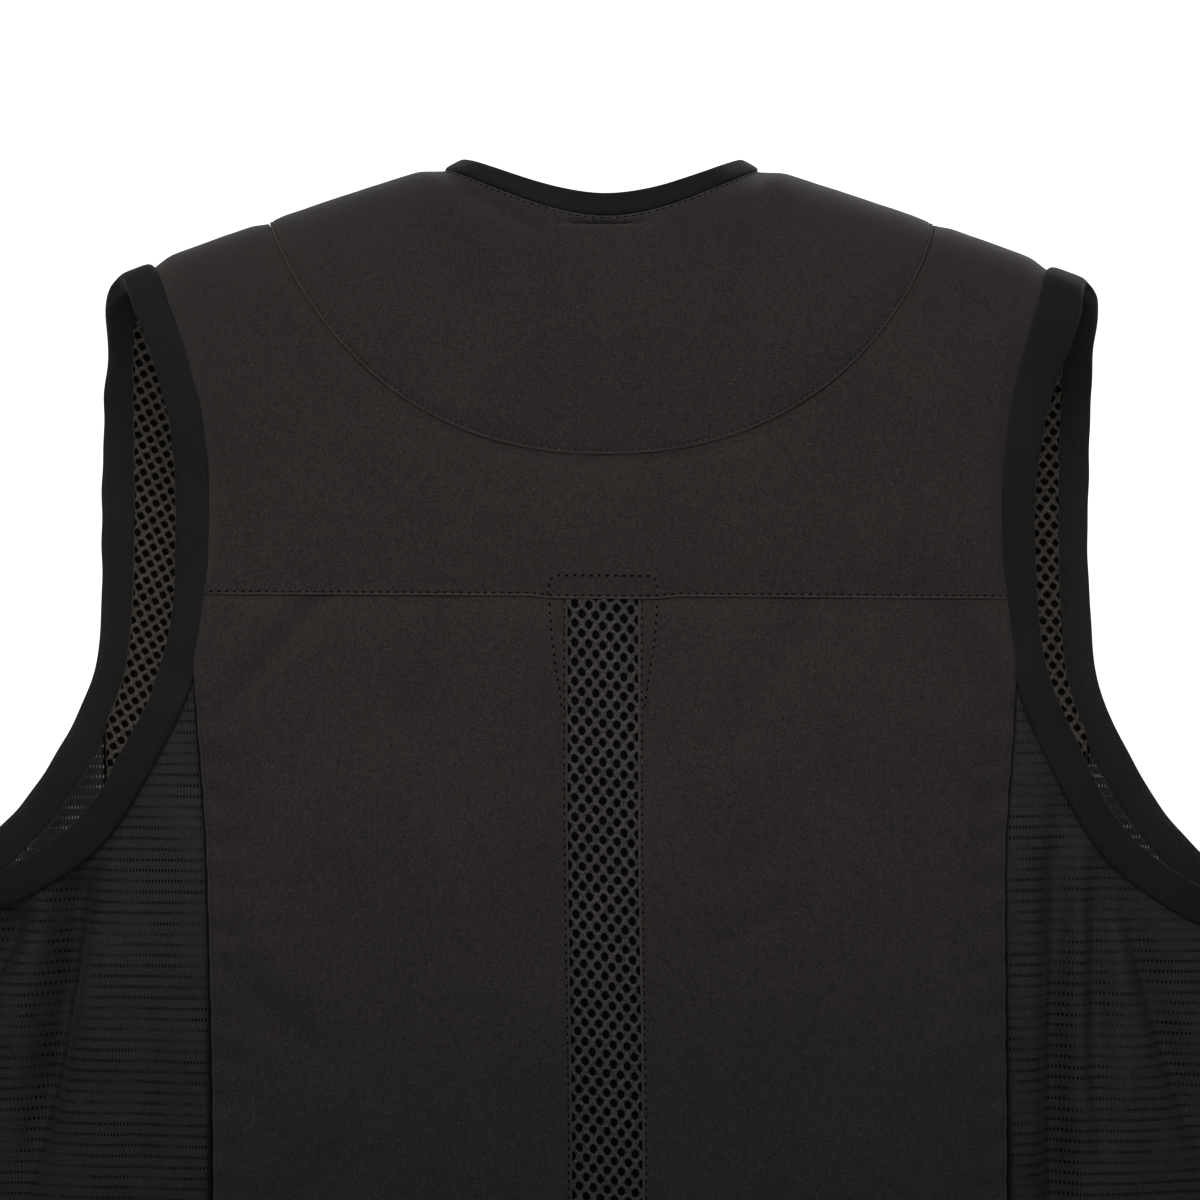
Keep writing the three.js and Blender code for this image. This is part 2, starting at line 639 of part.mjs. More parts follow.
// The neck binding's steps are the yoke's, and from -1 to -2 and from 3 to 4 it runs on to the zip.
function neckBindingSpot(step, across) {
  const inward = lerp(1, NECK_SEAM_SHARE, across);
  const place = yokeLine((right) => {
    const turn = right < -1 ? lerp(neckTurn(-1), -zipTurn(inward), -1 - right) : neckTurn(right);
    return neckSpot(turn, inward);
  });
  return place(step);
}

const ARMHOLE_STATIONS = (() => {
  const ends = [0, crossSeamShare(0), backSeamShare(0), frontSeamShare(0), shoulderSeamShare(0), 1];
  const steps = [STEPS.yokeArmhole, STEPS.backCorner, STEPS.underarm, STEPS.frontArmhole, STEPS.shoulder];
  return stations(ends, steps).slice(0, -1);
})();

const armholeBindingSpot = (share, across) => armholeSpot(share, across * BINDING_WIDTH);

function hemBindingSpot(share, across) {
  const drop = lerp(HEM_DROP, HEM_DROP - BINDING_WIDTH, across);
  const open = Math.asin((ZIP_HALF + GAP) / halfWidth(drop));
  return spotAtAngle(lerp(open - QUARTER_TURN, HALF_TURN + QUARTER_TURN - open, share), drop);
}

// Materials
const cloth = (color, roughness) => new THREE.MeshStandardMaterial({ color, roughness, metalness: 0 });
const SHELL = cloth(0x2d2927, 0.85);
const SPACER_MESH = cloth(0x242122, 0.9);
const SIDE_MESH = cloth(0x201e1f, 0.8);
const ELASTIC = cloth(0x1e1c1d, 0.75);
const ZIP_TAPE = cloth(0x1a1a1a, 0.6);

const vest = new THREE.Group();

function addPiece(name, geometry, material) {
  const mesh = new THREE.Mesh(geometry, material);
  mesh.name = name;
  vest.add(mesh);
}

// A piece of the right side and its counterpart on the left, made over a patch and over its mirror image.
const mirrored = (patch) => (u, v) => mirrorSpot(patch(u, v));

function addPair(name, patch, geometryOver, material) {
  addPiece(`${name}_right`, geometryOver(patch), material);
  addPiece(`${name}_left`, geometryOver(mirrored(patch)), material);
}

// The yoke insert, the yoke round it and the two panels below the cross seam
const SEWN_ALL_ROUND = ["top", "bottom", "left", "right"];
const YOKE_VS = evenly(5);
addPiece("yoke_insert", wallGeometry(yokePatch(neckLine, insertLine), YOKE_US, YOKE_VS, padOffsets(SEWN_ALL_ROUND)), SHELL);
addPiece("yoke", wallGeometry(yokePatch(insertLine, yokeRim), YOKE_US, YOKE_VS, padOffsets(SEWN_ALL_ROUND)), SHELL);

const BACK_VS = stations([0, BACK_CORNER_SHARE, 1], [STEPS.backCorner, STEPS.side]);
const backOffsets = padOffsets(["top", "left", "right"]);
addPair("back_panel", backPanelPatch(), (patch) => wallGeometry(patch, evenly(8), BACK_VS, backOffsets), SHELL);

const spineOffsets = () => ({ outer: SPINE_THICK / 2 - SPINE_SINK, inner: SPINE_THICK / 2 + SPINE_SINK });
addPiece("spine_mesh", wallGeometry(spinePatch(), evenly(4), evenly(STEPS.side), spineOffsets), SPACER_MESH);

// Side mesh, draped in its own folds on each side
for (const [side, folds] of Object.entries(SIDE_FOLDS)) {
  const plain = sidePatch();
  const offsets = (u, v) => {
    const sink = SIDE_SINK + foldDepth(folds, plain(u, v));
    return { outer: SIDE_THICK / 2 - sink, inner: SIDE_THICK / 2 + sink };
  };
  const patch = side === "left" ? mirrored(plain) : plain;
  addPiece(`side_mesh_${side}`, wallGeometry(patch, evenly(STEPS.underarm), evenly(STEPS.side), offsets), SIDE_MESH);
}

// Front panels with the spacer mesh that lines them
const frontOffsets = padOffsets(SEWN_ALL_ROUND);
const liningOffsets = (u, v) => {
  const face = frontOffsets(u, v).inner + GAP;
  return { outer: -face, inner: face + LINING_THICK };
};
const FRONT_VS = stations(
  [0, FRONT_NECK_SHARE, FRONT_ARMHOLE_SHARE, 1],
  [STEPS.frontNeck, STEPS.frontArmhole - STEPS.frontNeck, STEPS.side],
);
const frontWall = (offsets) => (patch) => wallGeometry(patch, evenly(8), FRONT_VS, offsets);
addPair("front_panel", frontPatch(), frontWall(frontOffsets), SHELL);
addPair("front_lining", frontPatch(), frontWall(liningOffsets), SPACER_MESH);
addPiece("front_zip", await zipGeometry(), ZIP_TAPE);

addPiece("neck_binding", bindingGeometry(neckBindingSpot, NECK_STATIONS, false), ELASTIC);
const armholeRing = (spotOf) => bindingGeometry(spotOf, ARMHOLE_STATIONS, true);
addPair("armhole_binding", armholeBindingSpot, armholeRing, ELASTIC);
addPiece("hem_binding", bindingGeometry(hemBindingSpot, evenly(56), false), ELASTIC);

export default vest;
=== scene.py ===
"""Dressing of the airbag vest: cloth panels, meshes, bindings, zip and stitches, and the studio round them.

The vest's sizes are in millimetres, with +Z up and +Y to the vest's front, and every mesh is made in metres.
A drop is the distance below the level where the shoulders meet the neck.
A half width is the distance from the middle plane, and a share runs from 0 to 1.
"""

import logging
import math
from dataclasses import dataclass, field
from enum import Enum
from functools import cached_property
from typing import Any, Callable, NamedTuple, Sequence

import bpy
import numpy as np
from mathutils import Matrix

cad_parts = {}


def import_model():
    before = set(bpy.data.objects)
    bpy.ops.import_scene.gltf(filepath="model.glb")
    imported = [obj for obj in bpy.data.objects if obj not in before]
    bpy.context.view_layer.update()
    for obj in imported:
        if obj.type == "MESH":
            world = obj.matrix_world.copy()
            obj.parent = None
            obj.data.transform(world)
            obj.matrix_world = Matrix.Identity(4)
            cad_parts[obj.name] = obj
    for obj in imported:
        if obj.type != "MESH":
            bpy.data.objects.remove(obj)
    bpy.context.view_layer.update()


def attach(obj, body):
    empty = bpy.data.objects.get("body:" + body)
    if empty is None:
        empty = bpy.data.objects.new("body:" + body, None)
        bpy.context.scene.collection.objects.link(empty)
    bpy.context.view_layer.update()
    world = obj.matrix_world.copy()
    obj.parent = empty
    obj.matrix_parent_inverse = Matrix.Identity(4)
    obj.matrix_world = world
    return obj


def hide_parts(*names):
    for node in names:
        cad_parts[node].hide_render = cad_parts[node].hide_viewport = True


LOG = logging.getLogger("vest")
Array = np.ndarray
Material = bpy.types.Material
METRES = 0.001
QUARTER_TURN = math.pi / 2
NUDGE = 1e-3


# Small helpers on arrays


def lerp(start: Any, end: Any, share: Any) -> Any:
    """The value at a share of the way from start to end."""
    return start + (end - start) * share


def smooth(value: Any, low: float, high: float) -> Array:
    """An S-shaped rise from 0 at low to 1 at high: 3 s squared minus 2 s cubed."""
    share = np.clip((np.asarray(value, float) - low) / (high - low), 0, 1)
    return share * share * (3 - 2 * share)


def quarter_round(distance: Array, radius: float) -> Array:
    """Height of a quarter circle of the given radius, from 0 at its foot to 1 at a radius away and beyond."""
    share = np.clip(distance / radius, 0, 1)
    return np.sqrt(np.clip(1 - (1 - share) ** 2, 0, 1))


def bell(distance: Array, width: float) -> Array:
    """A bell curve, 1 at no distance: e to the minus square of distance over width."""
    return np.exp(-((distance / width) ** 2))


def unit(vectors: Array) -> Array:
    """The vectors scaled to length 1."""
    return vectors / np.maximum(np.linalg.norm(vectors, axis=-1, keepdims=True), 1e-12)


def run_lengths(points: Array, axis: int) -> Array:
    """Distance travelled along an axis of a grid of points, 0 at its first entry."""
    steps = np.linalg.norm(np.diff(points, axis=axis), axis=-1)
    start = np.zeros_like(np.take(steps, [0], axis=axis))
    return np.concatenate([start, np.cumsum(steps, axis=axis)], axis=axis)


def split(value: Array, at: float) -> tuple[Array, Array]:
    """Shares of the way from 0 to a place, and from that place to 1."""
    return np.clip(value / at, 0, 1), np.clip((value - at) / (1 - at), 0, 1)


def through(rows: Sequence[Any], column: str) -> Callable[[Array], Array]:
    """A smooth function through the rows of a table.

    Args:
        rows: rows with a drop and other named columns, in order of drop.
        column: the column that the function gives.

    Returns:
        A cubic function of drop whose slope at a row is that of the line between the rows next to it.
    """
    drops = np.array([row.drop for row in rows], float)
    values = np.array([getattr(row, column) for row in rows], float)
    before = np.maximum(np.arange(len(rows)) - 1, 0)
    after = np.minimum(np.arange(len(rows)) + 1, len(rows) - 1)
    slopes = (values[after] - values[before]) / (drops[after] - drops[before])

    def value_at(drop: Array) -> Array:
        """The column's value at a drop.

        Args:
            drop: where.

        Returns:
            A cubic between the two rows next to the drop.
        """
        k = np.clip(np.searchsorted(drops, drop, side="left") - 1, 0, len(rows) - 2)
        span = drops[k + 1] - drops[k]
        s = np.clip((drop - drops[k]) / span, 0, 1)
        bend = s * (1 - s) ** 2 * span * slopes[k] + s * s * (s - 1) * span * slopes[k + 1]
        return lerp(values[k], values[k + 1], s * s * (3 - 2 * s)) + bend

    return value_at


# The form that the vest keeps when it is worn


class Spots(NamedTuple):
    """Places on the vest's middle surface: an angle round the torso and a walk from the shoulder line.

    The angle is 0 at the right side fold and a half turn at the left one. Both have one sign on the back and
    opposite signs on the front, so a panel may cross the shoulder line or a side fold.
    """

    angle: Array
    walk: Array

    def flipped(self) -> "Spots":
        """The same places, named from beyond the side fold."""
        return Spots(-self.angle, -self.walk)

    def mirrored(self) -> "Spots":
        """The places across the middle plane."""
        return Spots(math.pi - self.angle, self.walk)

    def mixed(self, other: "Spots", share: Array) -> "Spots":
        """The places at a share of the way to others."""
        return Spots(lerp(self.angle, other.angle, share), lerp(self.walk, other.walk, share))

    def where(self, true: Array, other: "Spots") -> "Spots":
        """These places where a test is true, and others elsewhere."""
        return Spots(np.where(true, self.angle, other.angle), np.where(true, self.walk, other.walk))


class Row(NamedTuple):
    """A size of the back and of the front, at a drop."""

    drop: float
    back: float
    front: float


class SeamRow(NamedTuple):
    """Half width of a side seam, at a drop."""

    drop: float
    half: float


@dataclass(frozen=True)
class Form:
    """The vest's middle surface, with its neck hole and armholes.

    Attributes:
        depth_rows: half depths of the torso.
        armhole_rows: half widths of the armhole's free edge.
    """

    neck_half: float = 65.0
    neck_edge_half: float = 57.0
    nape_seam_drop: float = 22.0
    nape_edge_drop: float = 12.5
    throat_seam_drop: float = 84.0
    throat_edge_drop: float = 73.0
    neck_crown: float = 13.0
    shoulder_slope: float = 0.345
    shoulder_bow: float = 1.5
    shoulder_tip_half: float = 202.0
    underarm_half: float = 284.0
    underarm_drop: float = 304.0
    hem_half: float = 266.0
    hem_drop: float = 612.0
    ridge_round: float = 85.0
    hang_low: float = 5.0
    hang_from: float = 100.0
    swing_right: float = 2.0
    swing_from: float = 250.0
    swing_to: float = 420.0
    spine_aside: float = -1.9
    spine_reach: float = 160.0
    spine_from: float = 40.0
    arch_steps: int = 60
    depth_rows: tuple[Row, ...] = (
        Row(-40, 66, 62),
        Row(60, 72, 68),
        Row(160, 77, 76),
        Row(300, 76, 80),
        Row(450, 71, 75),
        Row(620, 66, 68),
    )
    armhole_rows: tuple[Row, ...] = (
        Row(62, 193, 210),
        Row(85, 184, 211.5),
        Row(112, 177.5, 211.5),
        Row(146, 175.5, 211.5),
        Row(183, 177, 212.5),
        Row(212, 183, 216),
        Row(241, 196.5, 228),
        Row(270, 214, 246),
        Row(290, 240, 265),
        Row(300, 264, 278),
    )

    def half_width(self, drop: Array) -> Array:
        """Half width of the torso: even down to the underarm, then an S-shaped taper to the hem."""
        return lerp(self.underarm_half, self.hem_half, smooth(drop, self.underarm_drop, self.hem_drop))

    def ridge_drop(self, x: Array) -> Array:
        """Drop of the shoulder line: a slope with a slight bow, and a cubic crown across the neck.

        Args:
            x: half widths.

        Returns:
            Their drops.
        """
        half = np.abs(x)
        out = (half - self.neck_half) / (self.shoulder_tip_half - self.neck_half)
        bow = self.shoulder_bow * np.sin(np.clip(out, 0, 1) * math.pi)
        crown = -self.neck_crown * (1 - np.minimum(half / self.neck_half, 1) ** 3)
        return np.where(half < self.neck_half, crown, self.shoulder_slope * (half - self.neck_half) - bow)

    def fall(self, walk: Array) -> Array:
        """Fall after a walk from the shoulder line: first round a quarter circle, then straight down.

        Args:
            walk: distances walked.

        Returns:
            Their falls.
        """
        far = np.abs(walk)
        quarter = self.ridge_round * QUARTER_TURN
        bend = self.ridge_round * (1 - np.cos(np.minimum(far, quarter) / self.ridge_round))
        return np.where(far < quarter, bend, self.ridge_round + far - quarter)

    def walk(self, fall: Array) -> Array:
        """The walk that has a given fall."""
        share = np.clip(fall / self.ridge_round, 0, 1)
        beyond = self.ridge_round * QUARTER_TURN + fall - self.ridge_round
        return np.where(fall < self.ridge_round, self.ridge_round * np.arccos(1 - share), beyond)

    def drop(self, spots: Spots) -> Array:
        """Drop of places: the shoulder line's drop plus the fall."""
        return self.ridge_drop(self.underarm_half * np.cos(spots.angle)) + self.fall(spots.walk)

    def half(self, spots: Spots) -> Array:
        """Half width of places, before the hem's swing."""
        return self.half_width(self.drop(spots)) * np.cos(spots.angle)

    def point(self, spots: Spots) -> Array:
        """Points of places: an ellipse round the torso whose depth rises from nothing at the shoulder line.

        The hem swings a little to the right, and the middle of the back lies a little to the left.

        Args:
            spots: the places.

        Returns:
            Their points in space.
        """
        drop = self.drop(spots)
        turn = np.sin(spots.angle) * np.sign(spots.walk)
        depth = np.where(turn > 0, *(through(self.depth_rows, column)(drop) for column in ("back", "front")))
        lean = np.sin(np.minimum(np.abs(spots.walk) / self.ridge_round, QUARTER_TURN))
        hang = self.hang_low * smooth(drop, self.hang_from, self.underarm_drop) * np.cos(spots.angle)
        swing = self.swing_right * smooth(drop, self.swing_from, self.swing_to)
        half = self.half_width(drop) * np.cos(spots.angle)
        middle = 1 - smooth(np.abs(half), 0, self.spine_reach)
        aside = middle * smooth(drop, self.spine_from, self.spine_reach)
        x = half + swing + np.where(turn > 0, self.spine_aside * aside, 0)
        return np.stack([x, -depth * turn * lean, -drop - hang], axis=-1)

    def slopes(self, spots: Spots) -> tuple[Array, Array]:
        """Directions in which the surface runs as the angle and as the walk grows, from small differences.

        Args:
            spots: the places.

        Returns:
            The two directions at each place.
        """
        angle, walk = np.broadcast_arrays(spots.angle, spots.walk)
        by_angle = self.point(Spots(angle + NUDGE, walk)) - self.point(Spots(angle - NUDGE, walk))
        by_walk = self.point(Spots(angle, walk + NUDGE)) - self.point(Spots(angle, walk - NUDGE))
        return by_angle / (2 * NUDGE), by_walk / (2 * NUDGE)

    def normal(self, spots: Spots) -> Array:
        """Outward directions at places: the cross product of the two slopes."""
        by_angle, by_walk = self.slopes(spots)
        return unit(np.cross(by_angle, by_walk))

    def spot(self, x: Array, drop: Array, back: int) -> Spots:
        """Places at a half width and drop, on the back (1) or the front (-1)."""
        angle = np.arccos(np.clip(x / self.half_width(drop), -1, 1))
        return Spots(angle, back * self.walk(drop - self.ridge_drop(self.underarm_half * np.cos(angle))))

    def spot_at_angle(self, angle: Array, drop: Array) -> Spots:
        """Places at an angle, negative on the front, and a drop."""
        return Spots(angle, self.walk(drop - self.ridge_drop(self.underarm_half * np.cos(angle))))

    def slide(self, spots: Spots, direction: Array, distance: Array) -> Spots:
        """Places reached by moving over the surface.

        Args:
            spots: where the move starts.
            direction: unit vectors that lie in the surface.
            distance: length of the move.

        Returns:
            The places whose two chart steps add up to the move, by least squares.
        """
        by_angle, by_walk = self.slopes(spots)
        dot = lambda a, b: np.sum(a * b, axis=-1)
        aa, ww, aw = dot(by_angle, by_angle), dot(by_walk, by_walk), dot(by_angle, by_walk)
        da, dw = dot(by_angle, direction) * distance, dot(by_walk, direction) * distance
        area = aa * ww - aw * aw
        return Spots(spots.angle + (da * ww - dw * aw) / area, spots.walk + (dw * aa - da * aw) / area)

    def neck(self, turn: Array, inward: Array) -> Spots:
        """Places on the neck binding.

        Args:
            turn: 0 at the right shoulder, a quarter turn at the nape, minus a quarter turn at the throat.
            inward: 0 at the binding's seam and 1 at its free edge.

        Returns:
            Places whose half width goes with the turn's cosine and whose fall goes with its squared sine.
        """
        half = lerp(self.neck_half, self.neck_edge_half, inward)
        behind = np.sin(turn) >= 0
        seam = np.where(behind, self.nape_seam_drop, self.throat_seam_drop)
        edge = np.where(behind, self.nape_edge_drop, self.throat_edge_drop)
        fall = (lerp(seam, edge, inward) + self.neck_crown) * np.sin(turn) ** 2
        angle = np.arccos(half * np.cos(turn) / self.underarm_half)
        return Spots(angle, self.walk(fall) * np.where(behind, 1, -1))

    @cached_property
    def arch(self) -> tuple[Array, Array]:
        """The right armhole's free edge, a centripetal Catmull-Rom curve through the rows.

        Returns:
            Shares of its length, and the chart points there.
        """
        tip_half = np.array([self.shoulder_tip_half])
        tip = self.spot(tip_half, self.ridge_drop(tip_half), 1)
        drops, backs, fronts = np.array(self.armhole_rows, float).T
        behind = self.spot(backs, drops, 1)
        before = self.spot(fronts, drops, -1).flipped()
        under = self.spot(np.array([self.underarm_half]), np.array([self.underarm_drop]), 1)
        angles = np.concatenate([tip.angle, behind.angle, under.angle, before.angle[::-1], -tip.angle])
        walks = np.concatenate([tip.walk, behind.walk, under.walk, before.walk[::-1], -tip.walk])
        knots = np.stack([angles * self.underarm_half, walks], axis=-1)
        knots = np.vstack([2 * knots[:1] - knots[1:2], knots, 2 * knots[-1:] - knots[-2:-1]])
        p0, p1, p2, p3 = knots[:-3], knots[1:-2], knots[2:-1], knots[3:]
        root = lambda a, b: np.sqrt(np.linalg.norm(b - a, axis=1, keepdims=True))
        g0, g1, g2 = root(p0, p1), root(p1, p2), root(p2, p3)
        leave = ((p1 - p0) / g0 - (p2 - p0) / (g0 + g1) + (p2 - p1) / g1) * g1
        arrive = ((p2 - p1) / g1 - (p3 - p1) / (g1 + g2) + (p3 - p2) / g2) * g1
        s = (np.arange(self.arch_steps) / self.arch_steps)[None, :, None]
        p1, p2, leave, arrive = (part[:, None, :] for part in (p1, p2, leave, arrive))
        curve = lerp(p1, p2, s * s * (3 - 2 * s)) + s * (1 - s) ** 2 * leave + s * s * (s - 1) * arrive
        points = np.vstack([curve.reshape(-1, 2), knots[-2:-1]])
        lengths = run_lengths(points, 0)
        return lengths / lengths[-1], points

    def armhole_edge(self, share: Array) -> Spots:
        """Places on the right armhole's free edge: share 0 is the shoulder line and a half the underarm.

        Args:
            share: shares of the edge, which closes on itself.

        Returns:
            Their places.
        """
        shares, points = self.arch
        wrapped = np.mod(share, 1)
        return Spots(
            np.interp(wrapped, shares, points[:, 0]) / self.underarm_half,
            np.interp(wrapped, shares, points[:, 1]),
        )

    def armhole(self, share: Array, inward: Array) -> Spots:
        """Places at a distance from the right armhole's free edge, square to it, on the side of the cloth.

        Args:
            share: shares of the edge.
            inward: distances from it.

        Returns:
            Their places.
        """
        share, inward = np.broadcast_arrays(np.asarray(share, float), np.asarray(inward, float))
        spots = self.armhole_edge(share)
        ahead = self.point(self.armhole_edge(share + 2 * NUDGE))
        along = unit(ahead - self.point(self.armhole_edge(share - 2 * NUDGE)))
        return self.slide(spots, np.cross(self.normal(spots), along), -inward)


# The cut of the panels

Line = Callable[[Array], Spots]
Patch = Callable[[Array, Array], Spots]


@dataclass(frozen=True)
class Pattern:
    """The lines where the panels meet, and the patches of the form between them."""

    form: Form = Form()
    gap: float = -0.1
    binding_width: float = 12.0
    insert_half: float = 152.0
    insert_top_drop: float = -60.0
    insert_depth: float = 180.0
    insert_power: float = 2.2
    cross_seam_drop: float = 177.5
    tab_dip: float = 1.0
    tab_half: float = 21.0
    tab_ease: float = 9.0
    shoulder_fall: float = 14.0
    spine_half: float = 14.4
    zip_half: float = 8.0
    corner_step: float = 0.6
    back_corner_share: float = 0.075
    front_neck_share: float = 0.2
    front_armhole_share: float = 0.32
    search_steps: int = 1500
    cross_search: tuple[float, float] = (0.1, 0.4)
    underarm_share: float = 0.5
    front_search: tuple[float, float] = (0.5, 0.8)
    shoulder_search: tuple[float, float] = (0.8, 0.999)
    back_side_rows: tuple[SeamRow, ...] = (
        SeamRow(150, 168.5),
        SeamRow(209, 168),
        SeamRow(290, 163),
        SeamRow(620, 163),
    )
    front_side_rows: tuple[SeamRow, ...] = (SeamRow(150, 214), SeamRow(235, 212), SeamRow(620, 203))

    @property
    def hem_line_drop(self) -> float:
        """Drop at which the panels end and the hem binding begins."""
        return self.form.hem_drop - self.binding_width - self.gap

    @property
    def throat_fall(self) -> float:
        """Fall of the neck seam at the throat."""
        return self.form.throat_seam_drop + self.form.neck_crown

    def cloth_edge(self, share: Array) -> Spots:
        """Places where the cloth ends at the right armhole's binding."""
        return self.form.armhole(share, self.binding_width + self.gap)

    def back_side(self, drop: Array) -> Array:
        """Half width of the seam between back panel and side mesh."""
        return through(self.back_side_rows, "half")(drop)

    def front_side(self, drop: Array) -> Array:
        """Half width of the seam between front panel and side mesh."""
        return through(self.front_side_rows, "half")(drop)

    def share_where(self, measure: Callable[[Spots], Array], start: float, end: float) -> float:
        """Share of the armhole between two shares where a measure of its cloth edge changes sign.

        Args:
            measure: gives a value at each place.
            start: lowest share.
            end: highest share.

        Returns:
            The share, by a linear step.
        """
        shares = np.linspace(start, end, self.search_steps)
        values = measure(self.cloth_edge(shares))
        k = int(np.nonzero(np.diff(np.sign(values)))[0][0])
        return float(lerp(shares[k], shares[k + 1], values[k] / (values[k] - values[k + 1])))

    def cross_drop(self, x: Array) -> Array:
        """Drop of the cross seam, which dips a little at the tab over the spine."""
        beside = smooth(np.abs(x), self.tab_half, self.tab_half + self.tab_ease)
        return self.cross_seam_drop + self.tab_dip * (1 - beside)

    def cross_seam_share(self, shift: float) -> float:
        """Share of the armhole where it meets the cross seam."""
        below = lambda spots: self.form.drop(spots) - self.cross_seam_drop - shift
        return self.share_where(below, *self.cross_search)

    def back_seam_share(self, shift: float) -> float:
        """Share of the armhole where it meets the back side seam."""
        beyond = lambda spots: self.form.half(spots) - self.back_side(self.form.drop(spots)) - shift
        return self.share_where(beyond, self.cross_seam_share(0), self.underarm_share)

    def front_seam_share(self, shift: float) -> float:
        """Share of the armhole where it meets the front side seam."""
        beyond = lambda spots: self.form.half(spots) - self.front_side(self.form.drop(spots)) - shift
        return self.share_where(beyond, *self.front_search)

    def shoulder_seam_share(self, shift: float) -> float:
        """Share of the armhole where it meets the front shoulder seam."""
        reach = self.form.walk(np.array(self.shoulder_fall + shift))
        return self.share_where(lambda spots: spots.walk - reach, *self.shoulder_search)

    def whole(self, right: Line, step: Array) -> Spots:
        """A yoke line from the right front seam (-1) over the mid back (1) to the left front seam (3)."""
        left = step > 1
        spots = right(np.where(left, 2 - step, step))
        return spots.mirrored().where(left, spots)

    def neck_turn(self, step: Array) -> Array:
        """Turn round the neck at a yoke step, even behind and set by the seam's fall in front."""
        front = -np.arcsin(np.minimum(np.abs(step), 1) * math.sqrt(self.shoulder_fall / self.throat_fall))
        return np.where(step >= 0, step * QUARTER_TURN, front)

    def zip_turn(self, inward: Array) -> Array:
        """Turn of the neck where a share of its binding's width comes to the zip."""
        half = lerp(self.form.neck_half, self.form.neck_edge_half, inward)
        return np.arccos((self.zip_half + self.gap) / half)

    def neck_line(self, step: Array) -> Spots:
        """Neck seam of the yoke insert."""
        return self.whole(lambda right: self.form.neck(self.neck_turn(right), 0.0), step)

    def insert_curve(self, turn: Array) -> tuple[Array, Array]:
        """Half width and drop of the insert's curved seam: a quarter of a superellipse."""
        power = 2 / self.insert_power
        x = self.insert_half * np.maximum(np.cos(turn), 0) ** power
        return x, self.insert_top_drop + self.insert_depth * np.sin(turn) ** power

    @cached_property
    def insert_start(self) -> float:
        """Turn at which the insert's seam crosses the shoulder line."""
        turns = np.linspace(0, QUARTER_TURN / 2, self.search_steps)
        x, drop = self.insert_curve(turns)
        return float(np.interp(0, drop - self.form.ridge_drop(x), turns))

    def insert_seam(self, share: Array) -> Spots:
        """Places on the insert's seam from the right shoulder line (0) to its lowest point (1)."""
        turn = lerp(self.insert_start, QUARTER_TURN, 1 - np.cos(share * QUARTER_TURN))
        x, drop = self.insert_curve(turn)
        return self.form.spot(x, drop, 1)

    def insert_line(self, step: Array) -> Spots:
        """Seam between the yoke insert and the yoke.

        Args:
            step: yoke steps.

        Returns:
            Their places.
        """

        def right(part: Array) -> Spots:
            """The right half of the line.

            Args:
                part: yoke steps up to 1.

            Returns:
                Their places.
            """
            behind = self.insert_seam(np.maximum(part, 0))
            start = self.insert_seam(np.array(0.0)).angle
            before = -self.form.walk(self.shoulder_fall * part * part)
            return behind.where(part >= 0, Spots(start, before))

        return self.whole(right, step)

    def yoke_rim(self, step: Array) -> Spots:
        """Outer edge of the yoke: along the armhole to the corner step, then along the cross seam.

        Args:
            step: yoke steps.

        Returns:
            Their places.
        """
        corner_share = self.cross_seam_share(0)
        shoulder_share = self.shoulder_seam_share(0)
        corner = self.form.half(self.cloth_edge(np.array(corner_share)))

        def right(part: Array) -> Spots:
            """The right half of the rim.

            Args:
                part: yoke steps up to 1.

            Returns:
                Their places.
            """
            before = self.cloth_edge(lerp(1 - NUDGE, shoulder_share, np.clip(-part, 0, 1))).flipped()
            beside, inward = split(part, self.corner_step)
            behind = self.cloth_edge(lerp(0, corner_share, beside))
            half = lerp(corner, 0, inward)
            below = self.form.spot(half, self.cross_drop(half), 1)
            return before.where(part < 0, behind.where(part < self.corner_step, below))

        return self.whole(right, step)

    def yoke_patch(self, upper: Line, lower: Line) -> Patch:
        """A patch between two yoke lines, half a gap inside both; u is the step plus 1 over 4.

        Args:
            upper: the inner line.
            lower: the outer line.

        Returns:
            The patch.
        """

        def patch(us: Array, vs: Array) -> Spots:
            """Places on the patch's grid."""
            top, bottom = upper(4 * us - 1), lower(4 * us - 1)
            inset = self.gap / 2 / np.linalg.norm(self.form.point(top) - self.form.point(bottom), axis=-1)
            return top.mixed(bottom, lerp(inset[None, :], 1 - inset[None, :], vs[:, None]))

        return patch

    def between(self, top: Line, bottom: Line, left: Line, right: Line) -> Patch:
        """A Coons patch: the two ruled blends of facing lines, less the blend of the four corners.

        Args:
            top: line along u at v 0.
            bottom: line along u at v 1.
            left: line along v at u 0.
            right: line along v at u 1.

        Returns:
            The patch.
        """

        def blend(name: str, us: Array, vs: Array) -> Array:
            """One chart coordinate on the patch's grid.

            Args:
                name: which coordinate.
                us: positions across.
                vs: positions down.

            Returns:
                The coordinate.
            """
            ends = np.array([0.0, 1.0])
            upper, lower = getattr(top(us), name)[None, :], getattr(bottom(us), name)[None, :]
            near, far = getattr(left(vs), name)[:, None], getattr(right(vs), name)[:, None]
            high, low = getattr(top(ends), name), getattr(bottom(ends), name)
            u, v = us[None, :], vs[:, None]
            corners = lerp(lerp(high[0], high[1], u), lerp(low[0], low[1], u), v)
            return lerp(upper, lower, v) + lerp(near, far, u) - corners

        return lambda us, vs: Spots(blend("angle", us, vs), blend("walk", us, vs))

    def back_patch(self) -> Patch:
        """Right back panel: u from the spine to the side, v from the cross seam to the hem.

        Returns:
            The patch.
        """
        form, hem, spine = self.form, self.hem_line_drop, self.spine_half + self.gap / 2
        top_drop = lambda x: self.cross_drop(x) + self.gap
        start, end = self.cross_seam_share(self.gap), self.back_seam_share(-self.gap / 2)
        corner_drop = form.drop(self.cloth_edge(np.array(end)))

